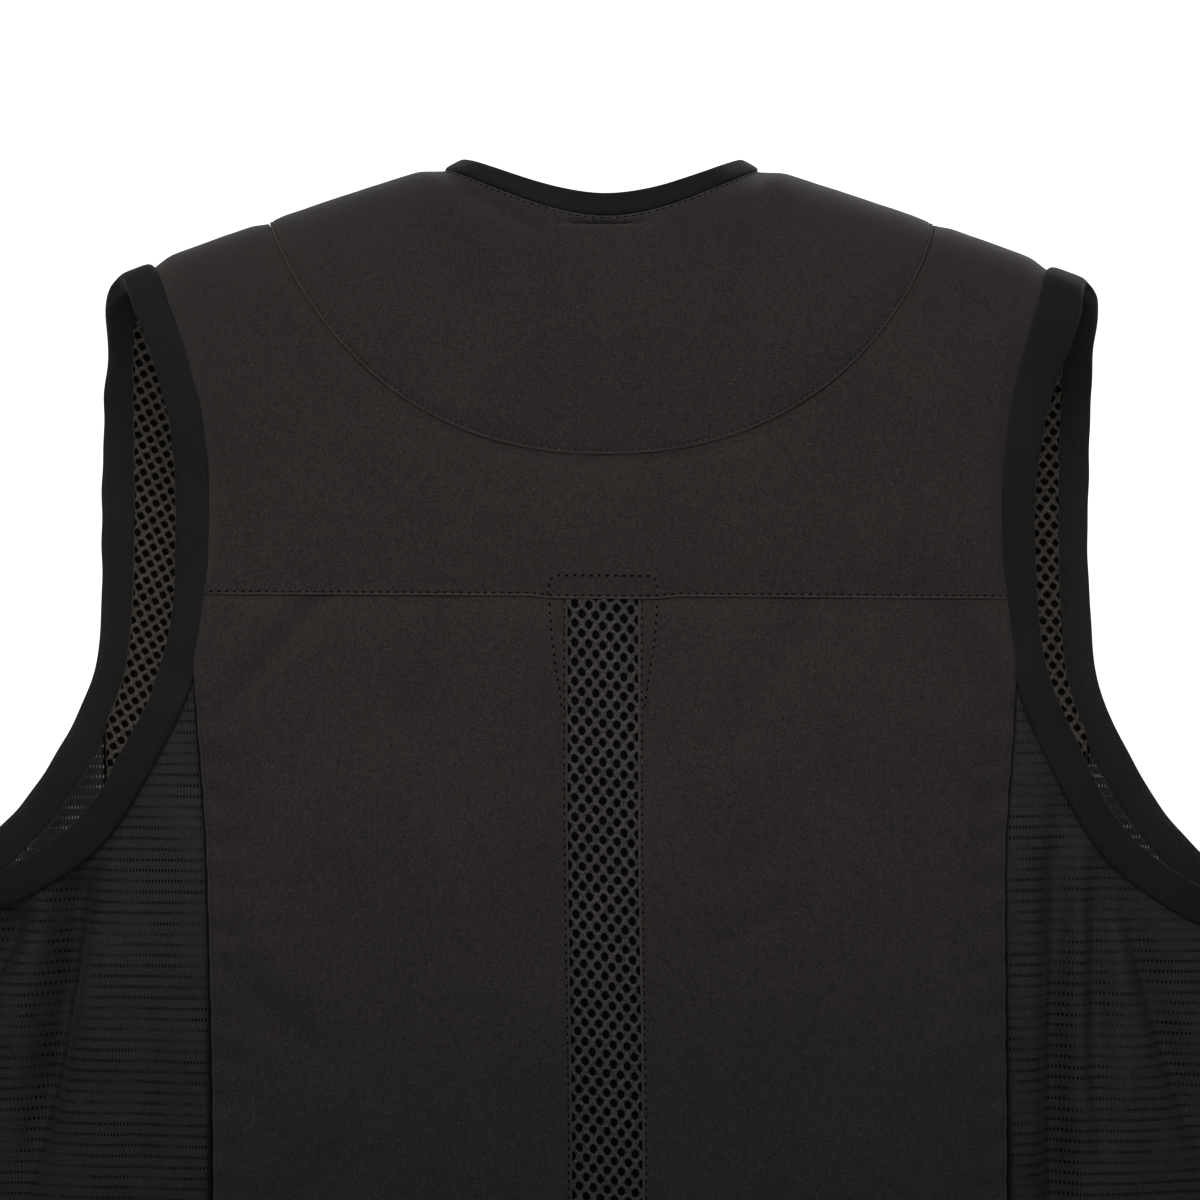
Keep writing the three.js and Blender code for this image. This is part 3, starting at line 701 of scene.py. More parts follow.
        def outer(v: Array) -> Spots:
            """The armhole down to the panel's corner, then the side seam.

            Args:
                v: shares of the edge from the cross seam.

            Returns:
                Their places.
            """
            beside, below = split(v, self.back_corner_share)
            drop = lerp(corner_drop, hem, below)
            lower = form.spot(self.back_side(drop) - self.gap / 2, drop, 1)
            return self.cloth_edge(lerp(start, end, beside)).where(v < self.back_corner_share, lower)

        def level(drop_at: Callable[[Array], Array], end_share: float) -> Line:
            """A line from the spine to the panel's outer edge whose drop is given by the half width."""
            half = form.half(outer(np.array(end_share)))
            return lambda u: form.spot(lerp(spine, half, u), drop_at(lerp(spine, half, u)), 1)

        bottom = level(lambda x: np.full_like(x, hem), 1.0)
        inner = lambda v: form.spot(np.full_like(v, spine), lerp(top_drop(np.array(spine)), hem, v), 1)
        return self.between(level(top_drop, 0.0), bottom, inner, outer)

    def side_patch(self) -> Patch:
        """Right side mesh: u from the back seam round the side fold to the front seam, v down to the hem.

        Returns:
            The patch.
        """
        form, hem = self.form, self.hem_line_drop
        back_share, front_share = self.back_seam_share(self.gap / 2), self.front_seam_share(self.gap / 2)
        back_top = form.drop(self.cloth_edge(np.array(back_share)))
        front_top = form.drop(self.cloth_edge(np.array(front_share)))

        def left(v: Array) -> Spots:
            """The back side seam."""
            drop = lerp(back_top, hem, v)
            return form.spot(self.back_side(drop) + self.gap / 2, drop, 1)

        def right(v: Array) -> Spots:
            """The front side seam."""
            drop = lerp(front_top, hem, v)
            return form.spot(self.front_side(drop) + self.gap / 2, drop, -1).flipped()

        low = np.array(1.0)
        angle = lambda u: lerp(left(low).angle, right(low).angle, u)
        bottom = lambda u: form.spot_at_angle(angle(u), np.full_like(u, hem))
        return self.between(lambda u: self.cloth_edge(lerp(back_share, front_share, u)), bottom, left, right)

    def front_inner(self, v: Array) -> Spots:
        """Inner edge of the right front panel: the neck, then the zip.

        Args:
            v: shares of the edge from the shoulder.

        Returns:
            Their places.
        """
        start = math.asin(math.sqrt((self.shoulder_fall + self.gap) / self.throat_fall))
        end = float(self.zip_turn(0.0))
        throat = self.form.drop(self.form.neck(np.array(-end), 0.0))
        beside, below = split(v, self.front_neck_share)
        half = np.full_like(v, self.zip_half + self.gap)
        lower = self.form.spot(half, lerp(throat, self.hem_line_drop, below), -1)
        upper = self.form.neck(-lerp(start, end, beside), 0.0)
        return upper.where(v < self.front_neck_share, lower).flipped()

    def front_outer(self, v: Array) -> Spots:
        """Outer edge of the right front panel: the armhole, then the side seam.

        Args:
            v: shares of the edge from the shoulder.

        Returns:
            Their places.
        """
        start, end = self.shoulder_seam_share(self.gap), self.front_seam_share(-self.gap / 2)
        side_top = self.form.drop(self.cloth_edge(np.array(end)))
        beside, below = split(v, self.front_armhole_share)
        drop = lerp(side_top, self.hem_line_drop, below)
        lower = self.form.spot(self.front_side(drop) - self.gap / 2, drop, -1).flipped()
        return self.cloth_edge(lerp(start, end, beside)).where(v < self.front_armhole_share, lower)

    def front_patch(self) -> Patch:
        """Right front panel: u from the neck and zip to the armhole and side, v down to the hem.

        Returns:
            The patch.
        """
        ends = np.array([0.0, 1.0])
        inner, outer = self.front_inner(ends), self.front_outer(ends)
        top = lambda u: Spots(lerp(inner.angle[0], outer.angle[0], u), lerp(inner.walk[0], outer.walk[0], u))
        hem_angle = lambda u: lerp(inner.angle[1], outer.angle[1], u)
        bottom = lambda u: self.form.spot_at_angle(hem_angle(u), np.full_like(u, self.hem_line_drop))
        return self.between(top, bottom, self.front_inner, self.front_outer)


class Side(Enum):
    """The two sides of the vest, named from the wearer."""

    RIGHT = "right"
    LEFT = "left"

    @property
    def sign(self) -> int:
        """Sign of the side's half widths."""
        return 1 if self is Side.RIGHT else -1

    def place(self, spots: Spots) -> Spots:
        """Places of the right side, moved to this side."""
        return spots if self is Side.RIGHT else spots.mirrored()

    def patch(self, patch: Patch) -> Patch:
        """A patch of the right side, moved to this side."""
        return lambda us, vs: self.place(patch(us, vs))


# Meshes


def grid_faces(index: Array) -> Array:
    """Four-sided faces over a grid of vertex numbers."""
    corners = (index[:-1, :-1], index[:-1, 1:], index[1:, 1:], index[1:, :-1])
    return np.stack([corner.ravel() for corner in corners], axis=-1)


def enclosed(points: Array, faces: Sequence[Array]) -> float:
    """Six times the volume inside closed faces: the sum of the triple products of their triangles.

    Args:
        points: vertices.
        faces: arrays of faces.

    Returns:
        The sum, negative if the faces point inwards.
    """
    total = 0.0
    for group in faces:
        first = points[group[:, 0]]
        for k in range(1, group.shape[1] - 1):
            total += float(np.sum(first * np.cross(points[group[:, k]], points[group[:, k + 1]])))
    return total


@dataclass
class Piece:
    """A mesh that stands for part of the vest.

    Attributes:
        name: the piece's name.
        points: vertices in millimetres.
        faces: arrays of faces, each with one number of corners.
        chart: a place on the flat cloth for each vertex, in millimetres, if a pattern follows it.
        marks: named values for each vertex that the finish reads.
    """

    name: str
    points: Array
    faces: Sequence[Array]
    chart: Array | None = None
    marks: dict[str, Array] = field(default_factory=dict)

    def make(self, material: Material, slot: str, nodes: Sequence[str] = ()) -> bpy.types.Object:
        """Makes the Blender object, with its faces outwards, and ties it to the frame.

        Args:
            material: the piece's finish.
            slot: not used.
            nodes: the CAD nodes that it stands for.

        Returns:
            The object, at the origin.
        """
        flat = self.points.reshape(-1, 3)
        faces = list(self.faces)
        if enclosed(flat, faces) < 0:
            faces = [group[:, ::-1] for group in faces]
        mesh = bpy.data.meshes.new(self.name)
        loops = np.concatenate([group.ravel() for group in faces]).astype(np.int32)
        counts = np.concatenate([np.full(len(group), group.shape[1]) for group in faces])
        starts = np.concatenate([[0], np.cumsum(counts)[:-1]]).astype(np.int32)
        mesh.vertices.add(len(flat))
        mesh.loops.add(len(loops))
        mesh.polygons.add(len(starts))
        mesh.vertices.foreach_set("co", (flat * METRES).astype(np.float32).ravel())
        mesh.loops.foreach_set("vertex_index", loops)
        mesh.polygons.foreach_set("loop_start", starts)
        mesh.update(calc_edges=True)
        mesh.polygons.foreach_set("use_smooth", np.ones(len(starts), bool))
        if self.chart is not None:
            layer = mesh.uv_layers.new(name="cloth")
            places = self.chart.reshape(-1, 2)[loops] * METRES
            layer.uv.foreach_set("vector", places.astype(np.float32).ravel())
        for name, values in self.marks.items():
            mark = mesh.attributes.new(name, "FLOAT", "POINT")
            mark.data.foreach_set("value", np.asarray(values, np.float32).ravel())
        mesh.validate()
        mesh.materials.append(material)
        made = bpy.data.objects.new(self.name, mesh)
        bpy.context.scene.collection.objects.link(made)
        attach(made, "root")
        if nodes:
            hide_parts(*nodes)
        LOG.info("%s: %d faces", self.name, len(starts))
        return made


class Edge(Enum):
    """The four edges of a panel's grid."""

    TOP = "top"
    BOTTOM = "bottom"
    LEFT = "left"
    RIGHT = "right"


@dataclass
class Cloth:
    """A panel's middle surface on a grid, with the distances across its rows and down its columns."""

    spots: Spots
    points: Array
    normals: Array
    across: Array
    down: Array

    @classmethod
    def cut(cls, form: Form, patch: Patch, us: Array, vs: Array) -> "Cloth":
        """The cloth over a patch, at the given positions across and down it."""
        spots = patch(us, vs)
        points = form.point(spots)
        return cls(spots, points, form.normal(spots), run_lengths(points, 1), run_lengths(points, 0))

    def distance(self, edge: Edge) -> Array:
        """Distance of each point from an edge, along its row or column.

        Args:
            edge: which edge.

        Returns:
            The distances.
        """
        if edge is Edge.TOP:
            return self.down
        if edge is Edge.BOTTOM:
            return self.down[-1:] - self.down
        if edge is Edge.LEFT:
            return self.across
        return self.across[:, -1:] - self.across

    def inward(self, values: Array, edge: Edge) -> Array:
        """A grid of values turned so that its first axis runs inwards from an edge."""
        turned = values if edge in (Edge.TOP, Edge.BOTTOM) else np.swapaxes(values, 0, 1)
        return turned if edge in (Edge.TOP, Edge.LEFT) else turned[::-1]

    def line(self, values: Array, edge: Edge, distance: Array | float) -> Array:
        """Values of a grid along the line at a distance from an edge, by linear steps between rows.

        Args:
            values: a value for each point.
            edge: which edge.
            distance: how far from it.

        Returns:
            The values along the line.
        """
        reach = self.inward(self.distance(edge), edge)
        grid = self.inward(values, edge)
        wanted = np.broadcast_to(np.asarray(distance, float), reach.shape[1:])
        k = np.clip((reach < wanted).sum(axis=0), 1, len(reach) - 1)
        columns = np.arange(reach.shape[1])
        near, far = reach[k - 1, columns], reach[k, columns]
        share = ((wanted - near) / np.maximum(far - near, 1e-9))[:, None]
        return lerp(grid[k - 1, columns], grid[k, columns], share)

    @property
    def chart(self) -> Array:
        """Flat place of each point: its distances along its row and its column."""
        return np.stack([self.across, -self.down], axis=-1)

    def shell(self, name: str, outer: Array, inner: Array, chart: Array, marks: dict[str, Array]) -> Piece:
        """A closed piece between an outer and an inner face that meet along the four edges.

        Args:
            name: the piece's name.
            outer: points of its outer face.
            inner: points of its inner face.
            chart: flat places of the points.
            marks: named values of the points.

        Returns:
            The piece.
        """
        rows, columns = self.down.shape
        front = np.arange(rows * columns).reshape(rows, columns)
        back = front.copy()
        inside = back[1:-1, 1:-1]
        inside[:] = front.size + np.arange(inside.size).reshape(inside.shape)

        def both(face: Array, other: Array) -> Array:
            """Values of the whole outer grid, then those inside the inner one."""
            return np.concatenate([face.reshape(front.size, -1), other[1:-1, 1:-1].reshape(inside.size, -1)])

        held = {key: both(value, value) for key, value in marks.items()}
        faces = [grid_faces(front), grid_faces(back)[:, ::-1]]
        return Piece(name, both(outer, inner), faces, both(chart, chart), held)


NEAR_EDGE = np.array([0.0, 0.1, 0.3, 0.6, 0.95, 1.3, 1.7, 2.1, 2.5, 2.9, 3.4, 4.0, 5.0, 6.6, 8.6])


def spaced(length: float, step: float) -> Array:
    """Shares of a length that stand close together near both ends and are even between."""
    count = max(int(round((length - 2 * NEAR_EDGE[-1]) / step)), 2)
    middle = np.linspace(NEAR_EDGE[-1], length - NEAR_EDGE[-1], count + 1)[1:-1]
    return np.concatenate([NEAR_EDGE, middle, length - NEAR_EDGE[::-1]]) / length


class EdgeFinish(NamedTuple):
    """How a padded panel ends: the radius of its rolled edge, and how much it is pinched over what reach."""

    roll: float
    pinch: Array | float
    reach: Array | float


@dataclass(frozen=True)
class Padding:
    """Thickness of a padded panel, full in the middle and pinched where it is sewn."""

    thick: float
    edges: tuple[tuple[Edge, EdgeFinish], ...]

    def offset(self, cloth: Cloth) -> Array:
        """Distance of the face from the middle: half the thickness less the pinch, rolled at the edges.

        Args:
            cloth: the panel's middle surface.

        Returns:
            The distance at each point.
        """
        pinch = np.zeros_like(cloth.down)
        roll = np.ones_like(cloth.down)
        for edge, finish in self.edges:
            distance = cloth.distance(edge)
            pinch = np.maximum(pinch, finish.pinch * (1 - smooth(distance, 0, finish.reach)))
            roll = roll * quarter_round(distance, finish.roll)
        return (self.thick / 2 - pinch) * roll


# Relief of the cloth


@dataclass(frozen=True)
class Ripple:
    """Soft unevenness of hanging cloth: waves of several lengths and directions added up."""

    height: float
    shortest: float
    longest: float
    waves: int = 14
    seed: int = 3

    def at(self, points: Array) -> Array:
        """Height at points, from their x and z: the sum of the waves, scaled to the given height.

        Args:
            points: where.

        Returns:
            The heights.
        """
        chance = np.random.default_rng(self.seed)
        lengths = np.exp(chance.uniform(math.log(self.shortest), math.log(self.longest), self.waves))
        turns = chance.uniform(0, math.pi, self.waves)
        shifts = chance.uniform(0, 2 * math.pi, self.waves)
        share = lengths / lengths.sum()
        run = points[..., 0, None] * np.cos(turns) + points[..., 2, None] * np.sin(turns)
        return self.height * 2 * np.sum(share * np.sin(2 * math.pi * run / lengths + shifts), axis=-1)


class Crease(NamedTuple):
    """A crease of the back: its ends as half widths and drops, its depth and its width.

    It fades in over a share of its length from each end, ease inside the end and beyond it.
    """

    x_start: float
    drop_start: float
    x_end: float
    drop_end: float
    depth: float
    width: float
    steepness: float = 0.4
    narrow: float = 0.6
    ease: float = 0.3
    beyond: float = 0.12

    def at(self, points: Array) -> Array:
        """Depth at points."""
        return self.depth * self.share(points, self.width)

    def shade(self, points: Array) -> Array:
        """Painted shade at the crease's bottom, more the steeper it is."""
        return min(self.steepness * self.depth / self.width, 1) * self.share(points, self.width * self.narrow)

    def share(self, points: Array, width: float) -> Array:
        """Share of the full depth at points: a bell across the line between the ends, fading beyond them.

        Args:
            points: where.
            width: the bell's width.

        Returns:
            The shares.
        """
        start = np.array([self.x_start, -self.drop_start])
        along = np.array([self.x_end, -self.drop_end]) - start
        length = float(np.linalg.norm(along))
        along = along / length
        run = points[..., [0, 2]] - start
        s = run @ along
        off = run @ np.array([-along[1], along[0]])
        fade = smooth(np.minimum(s, length - s), -self.beyond * length, self.ease * length)
        return bell(off, width) * fade


NECK_CREASES = (
    Crease(-24, 24.9, 18, 25.1, 1.7, 0.75),
    Crease(-64, 8, -20, 31, 3.0, 5.0),
    Crease(18, 31, 50, 17, 1.0, 5.0),
    Crease(-66, 58, -18, 36, 0.8, 9.0),
)
BACK_RIPPLES = (Ripple(0.35, 45, 170), Ripple(0.1, 9, 26, waves=22, seed=8))


@dataclass(frozen=True)
class Swelling:
    """Cloth simulation that puffs the face of a padded panel out between its sewn edges.

    Attributes:
        cell: size of the simulated cloth's cells.
        frames: how long it settles.
        pressure: pressure of the filling.
        slack: share by which the cloth is cut larger than the panel.
        most: height that the swelling comes close to but doesn't pass.
        evening: how often the result is evened out.
    """

    cell: float = 7.0
    frames: int = 20
    pressure: float = 4.0
    slack: float = 0.003
    most: float = 1.6
    evening: int = 6

    def lines(self, run: Array) -> Array:
        """Numbers of the grid lines that stand nearest to even cells."""
        count = max(int(round(run[-1] / self.cell)), 2)
        return np.unique(np.searchsorted(run, np.linspace(0, run[-1], count + 1) - NUDGE))

    def settled(self, face: Array, normals: Array) -> Array:
        """Points of a cloth that is held along its four edges, after it has settled under the pressure.

        Args:
            face: points of the cloth before.
            normals: its outward directions.

        Returns:
            Its points after.
        """
        index = np.arange(face[..., 0].size).reshape(face.shape[:2])
        quads = grid_faces(index)
        turn = np.cross(np.diff(face[:-1], axis=1), np.diff(face[:, :-1], axis=0))
        if np.sum(turn * normals[:-1, :-1]) < 0:
            quads = quads[:, ::-1]
        mesh = bpy.data.meshes.new("swelling")
        mesh.from_pydata((face.reshape(-1, 3) * METRES).tolist(), [], quads.tolist())
        made = bpy.data.objects.new("swelling", mesh)
        scene = bpy.context.scene
        scene.collection.objects.link(made)
        rim = np.concatenate([index[0], index[-1], index[:, 0], index[:, -1]])
        made.vertex_groups.new(name="sewn").add(np.unique(rim).tolist(), 1.0, "REPLACE")
        settings = made.modifiers.new("swelling", "CLOTH").settings
        settings.vertex_group_mass = "sewn"
        settings.use_pressure = True
        settings.uniform_pressure_force = self.pressure
        settings.shrink_min = -self.slack
        settings.effector_weights.gravity = 0.0
        for frame in range(1, self.frames + 1):
            scene.frame_set(frame)
        moved = np.empty(face.size, np.float32)
        made.evaluated_get(bpy.context.evaluated_depsgraph_get()).data.vertices.foreach_get("co", moved)
        scene.frame_set(1)
        bpy.data.meshes.remove(mesh)
        return moved.reshape(face.shape) / METRES

    def rise(self, cloth: Cloth, face: Array) -> Array:
        """Height of the settled cloth above a panel's face.

        Args:
            cloth: the panel's middle surface.
            face: points of the panel's outer face.

        Returns:
            The settled cloth's distance along the panel's outward directions, limited by a hyperbolic
            tangent, spread to the grid by linear steps and evened out by averages of three neighbours.
        """
        down, across = cloth.down.mean(axis=1), cloth.across.mean(axis=0)
        rows, columns = self.lines(down), self.lines(across)
        coarse, normals = face[np.ix_(rows, columns)], cloth.normals[np.ix_(rows, columns)]
        lift = np.sum((self.settled(coarse, normals) - coarse) * normals, axis=-1)
        LOG.info("swelling settles from %.2f to %.2f mm", lift.min(), lift.max())
        lift = self.most * np.tanh(lift / self.most)
        wide = np.stack([np.interp(across, across[columns], row) for row in lift])
        height = np.stack([np.interp(down, down[rows], column) for column in wide.T], axis=-1)
        for _ in range(self.evening):
            height[1:-1] = (height[:-2] + height[1:-1] + height[2:]) / 3
            height[:, 1:-1] = (height[:, :-2] + height[:, 1:-1] + height[:, 2:]) / 3
        return height


# Stitches


ROD_SIDES = 5
ROD_RUN = np.array([-0.5, -0.36, 0.36, 0.5])
ROD_GIRTH = np.array([0.3, 0.95, 0.95, 0.3])


def rods(name: str, centres: Array, along: Array, out: Array, length: float, radius: float) -> Piece:
    """Short rods as one piece: rings round each rod's axis, thin at both ends.

    Args:
        name: the piece's name.
        centres: the rods' middles.
        along: directions of their axes.
        out: directions away from the cloth.
        length: a rod's length.
        radius: its radius.

    Returns:
        The piece.
    """
    aside = unit(np.cross(out, along))
    turns = np.arange(ROD_SIDES) * 2 * math.pi / ROD_SIDES
    axis = centres[:, None, None, :] + along[:, None, None, :] * (ROD_RUN * length)[None, :, None, None]
    spoke = aside[:, None, :] * np.cos(turns)[None, :, None] + out[:, None, :] * np.sin(turns)[None, :, None]
    points = axis + spoke[:, None, :, :] * (ROD_GIRTH * radius)[None, :, None, None]
    index = np.arange(ROD_RUN.size * ROD_SIDES).reshape(-1, ROD_SIDES)
    walls = grid_faces(np.concatenate([index, index[:, :1]], axis=1))
    starts = (np.arange(len(centres)) * index.size)[:, None, None]
    caps = np.stack([index[0][::-1], index[-1]])
    faces = [(group[None] + starts).reshape(-1, group.shape[1]) for group in (walls, caps)]
    return Piece(name, points.reshape(-1, 3), faces)


@dataclass
class Stitching:
    """Rows of thread stitches, each a short rod along its row, with a painted needle-hole shadow sunk at its
    end.
    """

    name: str
    pitch: float = 3.3
    length: float = 2.0
    radius: float = 0.24
    hole_length: float = 1.3
    hole_radius: float = 0.5
    sink: float = 0.18
    stitches: list[tuple[Array, Array, Array]] = field(default_factory=list)
    holes: list[tuple[Array, Array, Array]] = field(default_factory=list)

    def sew(self, points: Array, normals: Array) -> None:
        """Adds a row of stitches along a line, spaced evenly by its length.

        Args:
            points: the line.
            normals: outward directions along it.
        """
        lengths = run_lengths(points, 0)
        count = max(int(lengths[-1] / self.pitch), 1)

        def at(where: Array, values: Array) -> Array:
            """Values at lengths along the line."""
            return np.stack([np.interp(where, lengths, column) for column in values.T], axis=-1)

        for row, shift in ((self.stitches, 0.5), (self.holes, 0.0)):
            places = (np.arange(count) + shift) * lengths[-1] / count
            along = unit(at(places + self.length / 2, points) - at(places - self.length / 2, points))
            row.append((at(places, points), along, unit(at(places, normals))))

    def make(self, thread: Material, shadow: Material, slot: str) -> None:
        """Makes all stitches as one piece, and the painted shadows of all needle holes as another.

        Args:
            thread: finish of the stitches.
            shadow: finish of the painted shadows in the holes.
            slot: the record's material slot.
        """
        centres, along, out = (np.concatenate(part) for part in zip(*self.stitches))
        rods(self.name, centres, along, out, self.length, self.radius).make(thread, slot)
        # Painted shadows of the needle holes: dark rods sunk below the thread.
        centres, along, out = (np.concatenate(part) for part in zip(*self.holes))
        sunk = centres - out * self.sink
        rods(f"{self.name}_holes", sunk, along, out, self.hole_length, self.hole_radius).make(shadow, slot)


# Finishes


class Signal:
    """A node's output that takes part in Python expressions: each operation adds a Math node."""

    def __init__(self, paint: "Paint", socket: bpy.types.NodeSocket) -> None:
        """Wraps a socket of a finish's nodes."""
        self.paint = paint
        self.socket = socket

    def _math(self, operation: str, *values: Any) -> "Signal":
        """The result of a Math node."""
        return self.paint.node("ShaderNodeMath", {"operation": operation}, dict(enumerate(values)))

    def __add__(self, other: Any) -> "Signal":
        """Sum."""
        return self._math("ADD", self, other)

    __radd__ = __add__

    def __sub__(self, other: Any) -> "Signal":
        """Difference."""
        return self._math("SUBTRACT", self, other)

    def __rsub__(self, other: Any) -> "Signal":
        """Difference from a number."""
        return self._math("SUBTRACT", other, self)

    def __mul__(self, other: Any) -> "Signal":
        """Product."""
        return self._math("MULTIPLY", self, other)

    __rmul__ = __mul__

    def __truediv__(self, other: Any) -> "Signal":
        """Quotient."""
        return self._math("DIVIDE", self, other)

    def wave(self) -> "Signal":
        """Sine of a number of turns."""
        return self._math("SINE", self * (2 * math.pi))

    def wrapped(self) -> "Signal":
        """Distance from the middle of each unit, from -0.5 to 0.5."""
        return self._math("FRACT", self) - 0.5

    def size(self) -> "Signal":
        """Value without its sign."""
        return self._math("ABSOLUTE", self)

    def larger(self, other: Any) -> "Signal":
        """The larger of two values."""
        return self._math("MAXIMUM", self, other)

    def rise(self, low: float, high: float) -> "Signal":
        """A smooth step from 0 at low to 1 at high."""
        settings = {"interpolation_type": "SMOOTHSTEP"}
        return self.paint.node("ShaderNodeMapRange", settings, {0: self, 1: low, 2: high, 3: 0.0, 4: 1.0})


Colour = tuple[float, float, float]
Point = tuple[float, float, float]


class Paint:
    """The nodes of one material, ending in a Principled shader."""

    def __init__(self, name: str) -> None:
        """Starts a material with nothing but its shader.

        Args:
            name: the material's name.
        """
        self.material = bpy.data.materials.new(name)
        self.material.use_nodes = True
        self.tree = self.material.node_tree
        self.shader = self.tree.nodes["Principled BSDF"]

    def node(
        self, kind: str, settings: dict[str, Any], inputs: dict[Any, Any], output: int | str = 0
    ) -> Signal:
        """Adds a node.

        Args:
            kind: the node's type.
            settings: its properties, set first.
            inputs: values or signals for its sockets, by name or number.
            output: name or number of the output that is wanted.

        Returns:
            The wanted output.
        """
        made = self.tree.nodes.new(kind)
        for key, value in settings.items():
            setattr(made, key, value)
        for key, value in inputs.items():
            self.feed(made.inputs[key], value)
        return Signal(self, made.outputs[output])

    def feed(self, socket: bpy.types.NodeSocket, value: Any) -> None:
        """Links a signal to a socket, or sets the socket's own value.

        Args:
            socket: an input.
            value: a signal, a number or a colour.
        """
        if isinstance(value, Signal):
            self.tree.links.new(value.socket, socket)
        elif isinstance(value, tuple) and len(value) == 3 and len(socket.default_value) == 4:
            socket.default_value = (*value, 1.0)
        else:
            socket.default_value = value

    def chart(self) -> tuple[Signal, Signal]:
        """The flat place on the cloth, in millimetres across and down."""
        place = self.node("ShaderNodeTexCoord", {}, {}, "UV")
        across, down = (self.node("ShaderNodeSeparateXYZ", {}, {0: place}, axis) for axis in "XY")
        return across / METRES, down / METRES

    def noise(self, scale: float, detail: float = 2.0, stretch: Colour = (1.0, 1.0, 1.0)) -> Signal:
        """Smooth noise over the object, with about scale features a metre, squeezed by the stretch."""
        place = self.node("ShaderNodeTexCoord", {}, {}, "Object")
        turned = self.node("ShaderNodeMapping", {}, {"Vector": place, "Scale": stretch})
        return self.node("ShaderNodeTexNoise", {}, {"Vector": turned, "Scale": scale, "Detail": detail})

    def specks(self, cell: float, share: float) -> Signal:
        """Small round dots in a share of random cells of the given size, in millimetres.

        Args:
            cell: size of the cells.
            share: share of cells with a dot.

        Returns:
            1 in the dots.
        """
        place = self.node("ShaderNodeTexCoord", {}, {}, "Object")
        inputs = {"Vector": place, "Scale": 1 / (cell * METRES)}
        colour = self.node("ShaderNodeTexVoronoi", {}, inputs, "Color")
        chance = self.node("ShaderNodeSeparateColor", {}, {0: colour})
        near = 1 - self.node("ShaderNodeTexVoronoi", {}, inputs).rise(0.1, 0.22)
        return near * chance.rise(1 - share, 1 - 0.8 * share)

    def mark(self, name: str) -> Signal:
        """A value that the mesh holds for each vertex."""
        return self.node("ShaderNodeAttribute", {"attribute_name": name}, {}, "Fac")

    def mix(self, share: Signal, start: Any, end: Any) -> Signal:
        """A colour between two others."""
        settings = {"data_type": "RGBA", "clamp_factor": True}
        return self.node("ShaderNodeMix", settings, {0: share, 6: start, 7: end}, 2)

    def bump(self, height: Signal, distance: float, strength: float) -> None:
        """Raises the surface by a height, in millimetres at full strength."""
        inputs = {"Strength": strength, "Distance": distance * METRES, "Height": height}
        self.feed(self.shader.inputs["Normal"], self.node("ShaderNodeBump", {}, inputs))

    def set(self, **values: Any) -> None:
        """Sets the shader's sockets, named with underscores for spaces."""
        for key, value in values.items():
            self.feed(self.shader.inputs[key.replace("_", " ")], value)


@dataclass(frozen=True)
class ShellCloth:
    """Fine dull woven cloth of the padded panels, with a painted highlight along folded edges and painted
    shade in creases.
    """

    dark: Colour = (0.0124, 0.0106, 0.0097)
    light: Colour = (0.0372, 0.0322, 0.0296)
    # Colour of the painted highlight along folded edges, and of the real lint specks.
    lint_and_fold_highlight: Colour = (0.085, 0.076, 0.070)
    # Colour of the painted shade in creases and along sunk edges.
    crease: Colour = (0.004, 0.0034, 0.0031)
    sheen: Colour = (0.95, 0.86, 0.78)
    thread: float = 0.62
    slub_scale: float = 760.0
    slub_stretch: float = 0.3
    grain_scale: float = 1700.0
    blotch_scale: float = 26.0
    fold_highlight_scale: float = 300.0
    lint_cell: float = 2.0
    lint_share: float = 0.09

    def paint(self) -> Material:
        """Warp and weft waves, slubs along both, grain, blotches, sparse pale lint, painted shade and a
        painted highlight.

        Returns:
            The material.
        """
        paint = Paint("shell_cloth")
        across, down = paint.chart()
        weave = (across / self.thread).wave() * (down / self.thread).wave()
        upright = paint.noise(self.slub_scale, 2, (1.0, 1.0, self.slub_stretch))
        slub = upright + paint.noise(self.slub_scale, 2, (self.slub_stretch, 1.0, 1.0)) - 1
        grain = paint.noise(self.grain_scale, 1) - 0.5
        blotch = paint.noise(self.blotch_scale, 1) - 0.5
        tone = 0.5 + 0.12 * weave + 0.5 * slub + 2.4 * grain + 0.3 * blotch
        # Painted shade: the shade mark mixes the crease colour in.
        cloth = paint.mix(paint.mark("shade"), paint.mix(tone, self.dark, self.light), self.crease)
        lint = paint.specks(self.lint_cell, self.lint_share)
        # Painted highlight along folded edges, broken by noise, with the real lint specks over it.
        lint_and_fold_highlight = (paint.mark("fold") * (0.55 + paint.noise(self.fold_highlight_scale, 2))).larger(0.5 * lint)
        paint.set(Base_Color=paint.mix(lint_and_fold_highlight, cloth, self.lint_and_fold_highlight), Roughness=0.78 + 0.14 * slub)
        paint.set(Specular_IOR_Level=0.12, Sheen_Weight=0.1, Sheen_Roughness=0.5, Sheen_Tint=self.sheen)
        paint.bump(0.5 * weave + 0.8 * slub, 0.10, 0.6)
        return paint.material


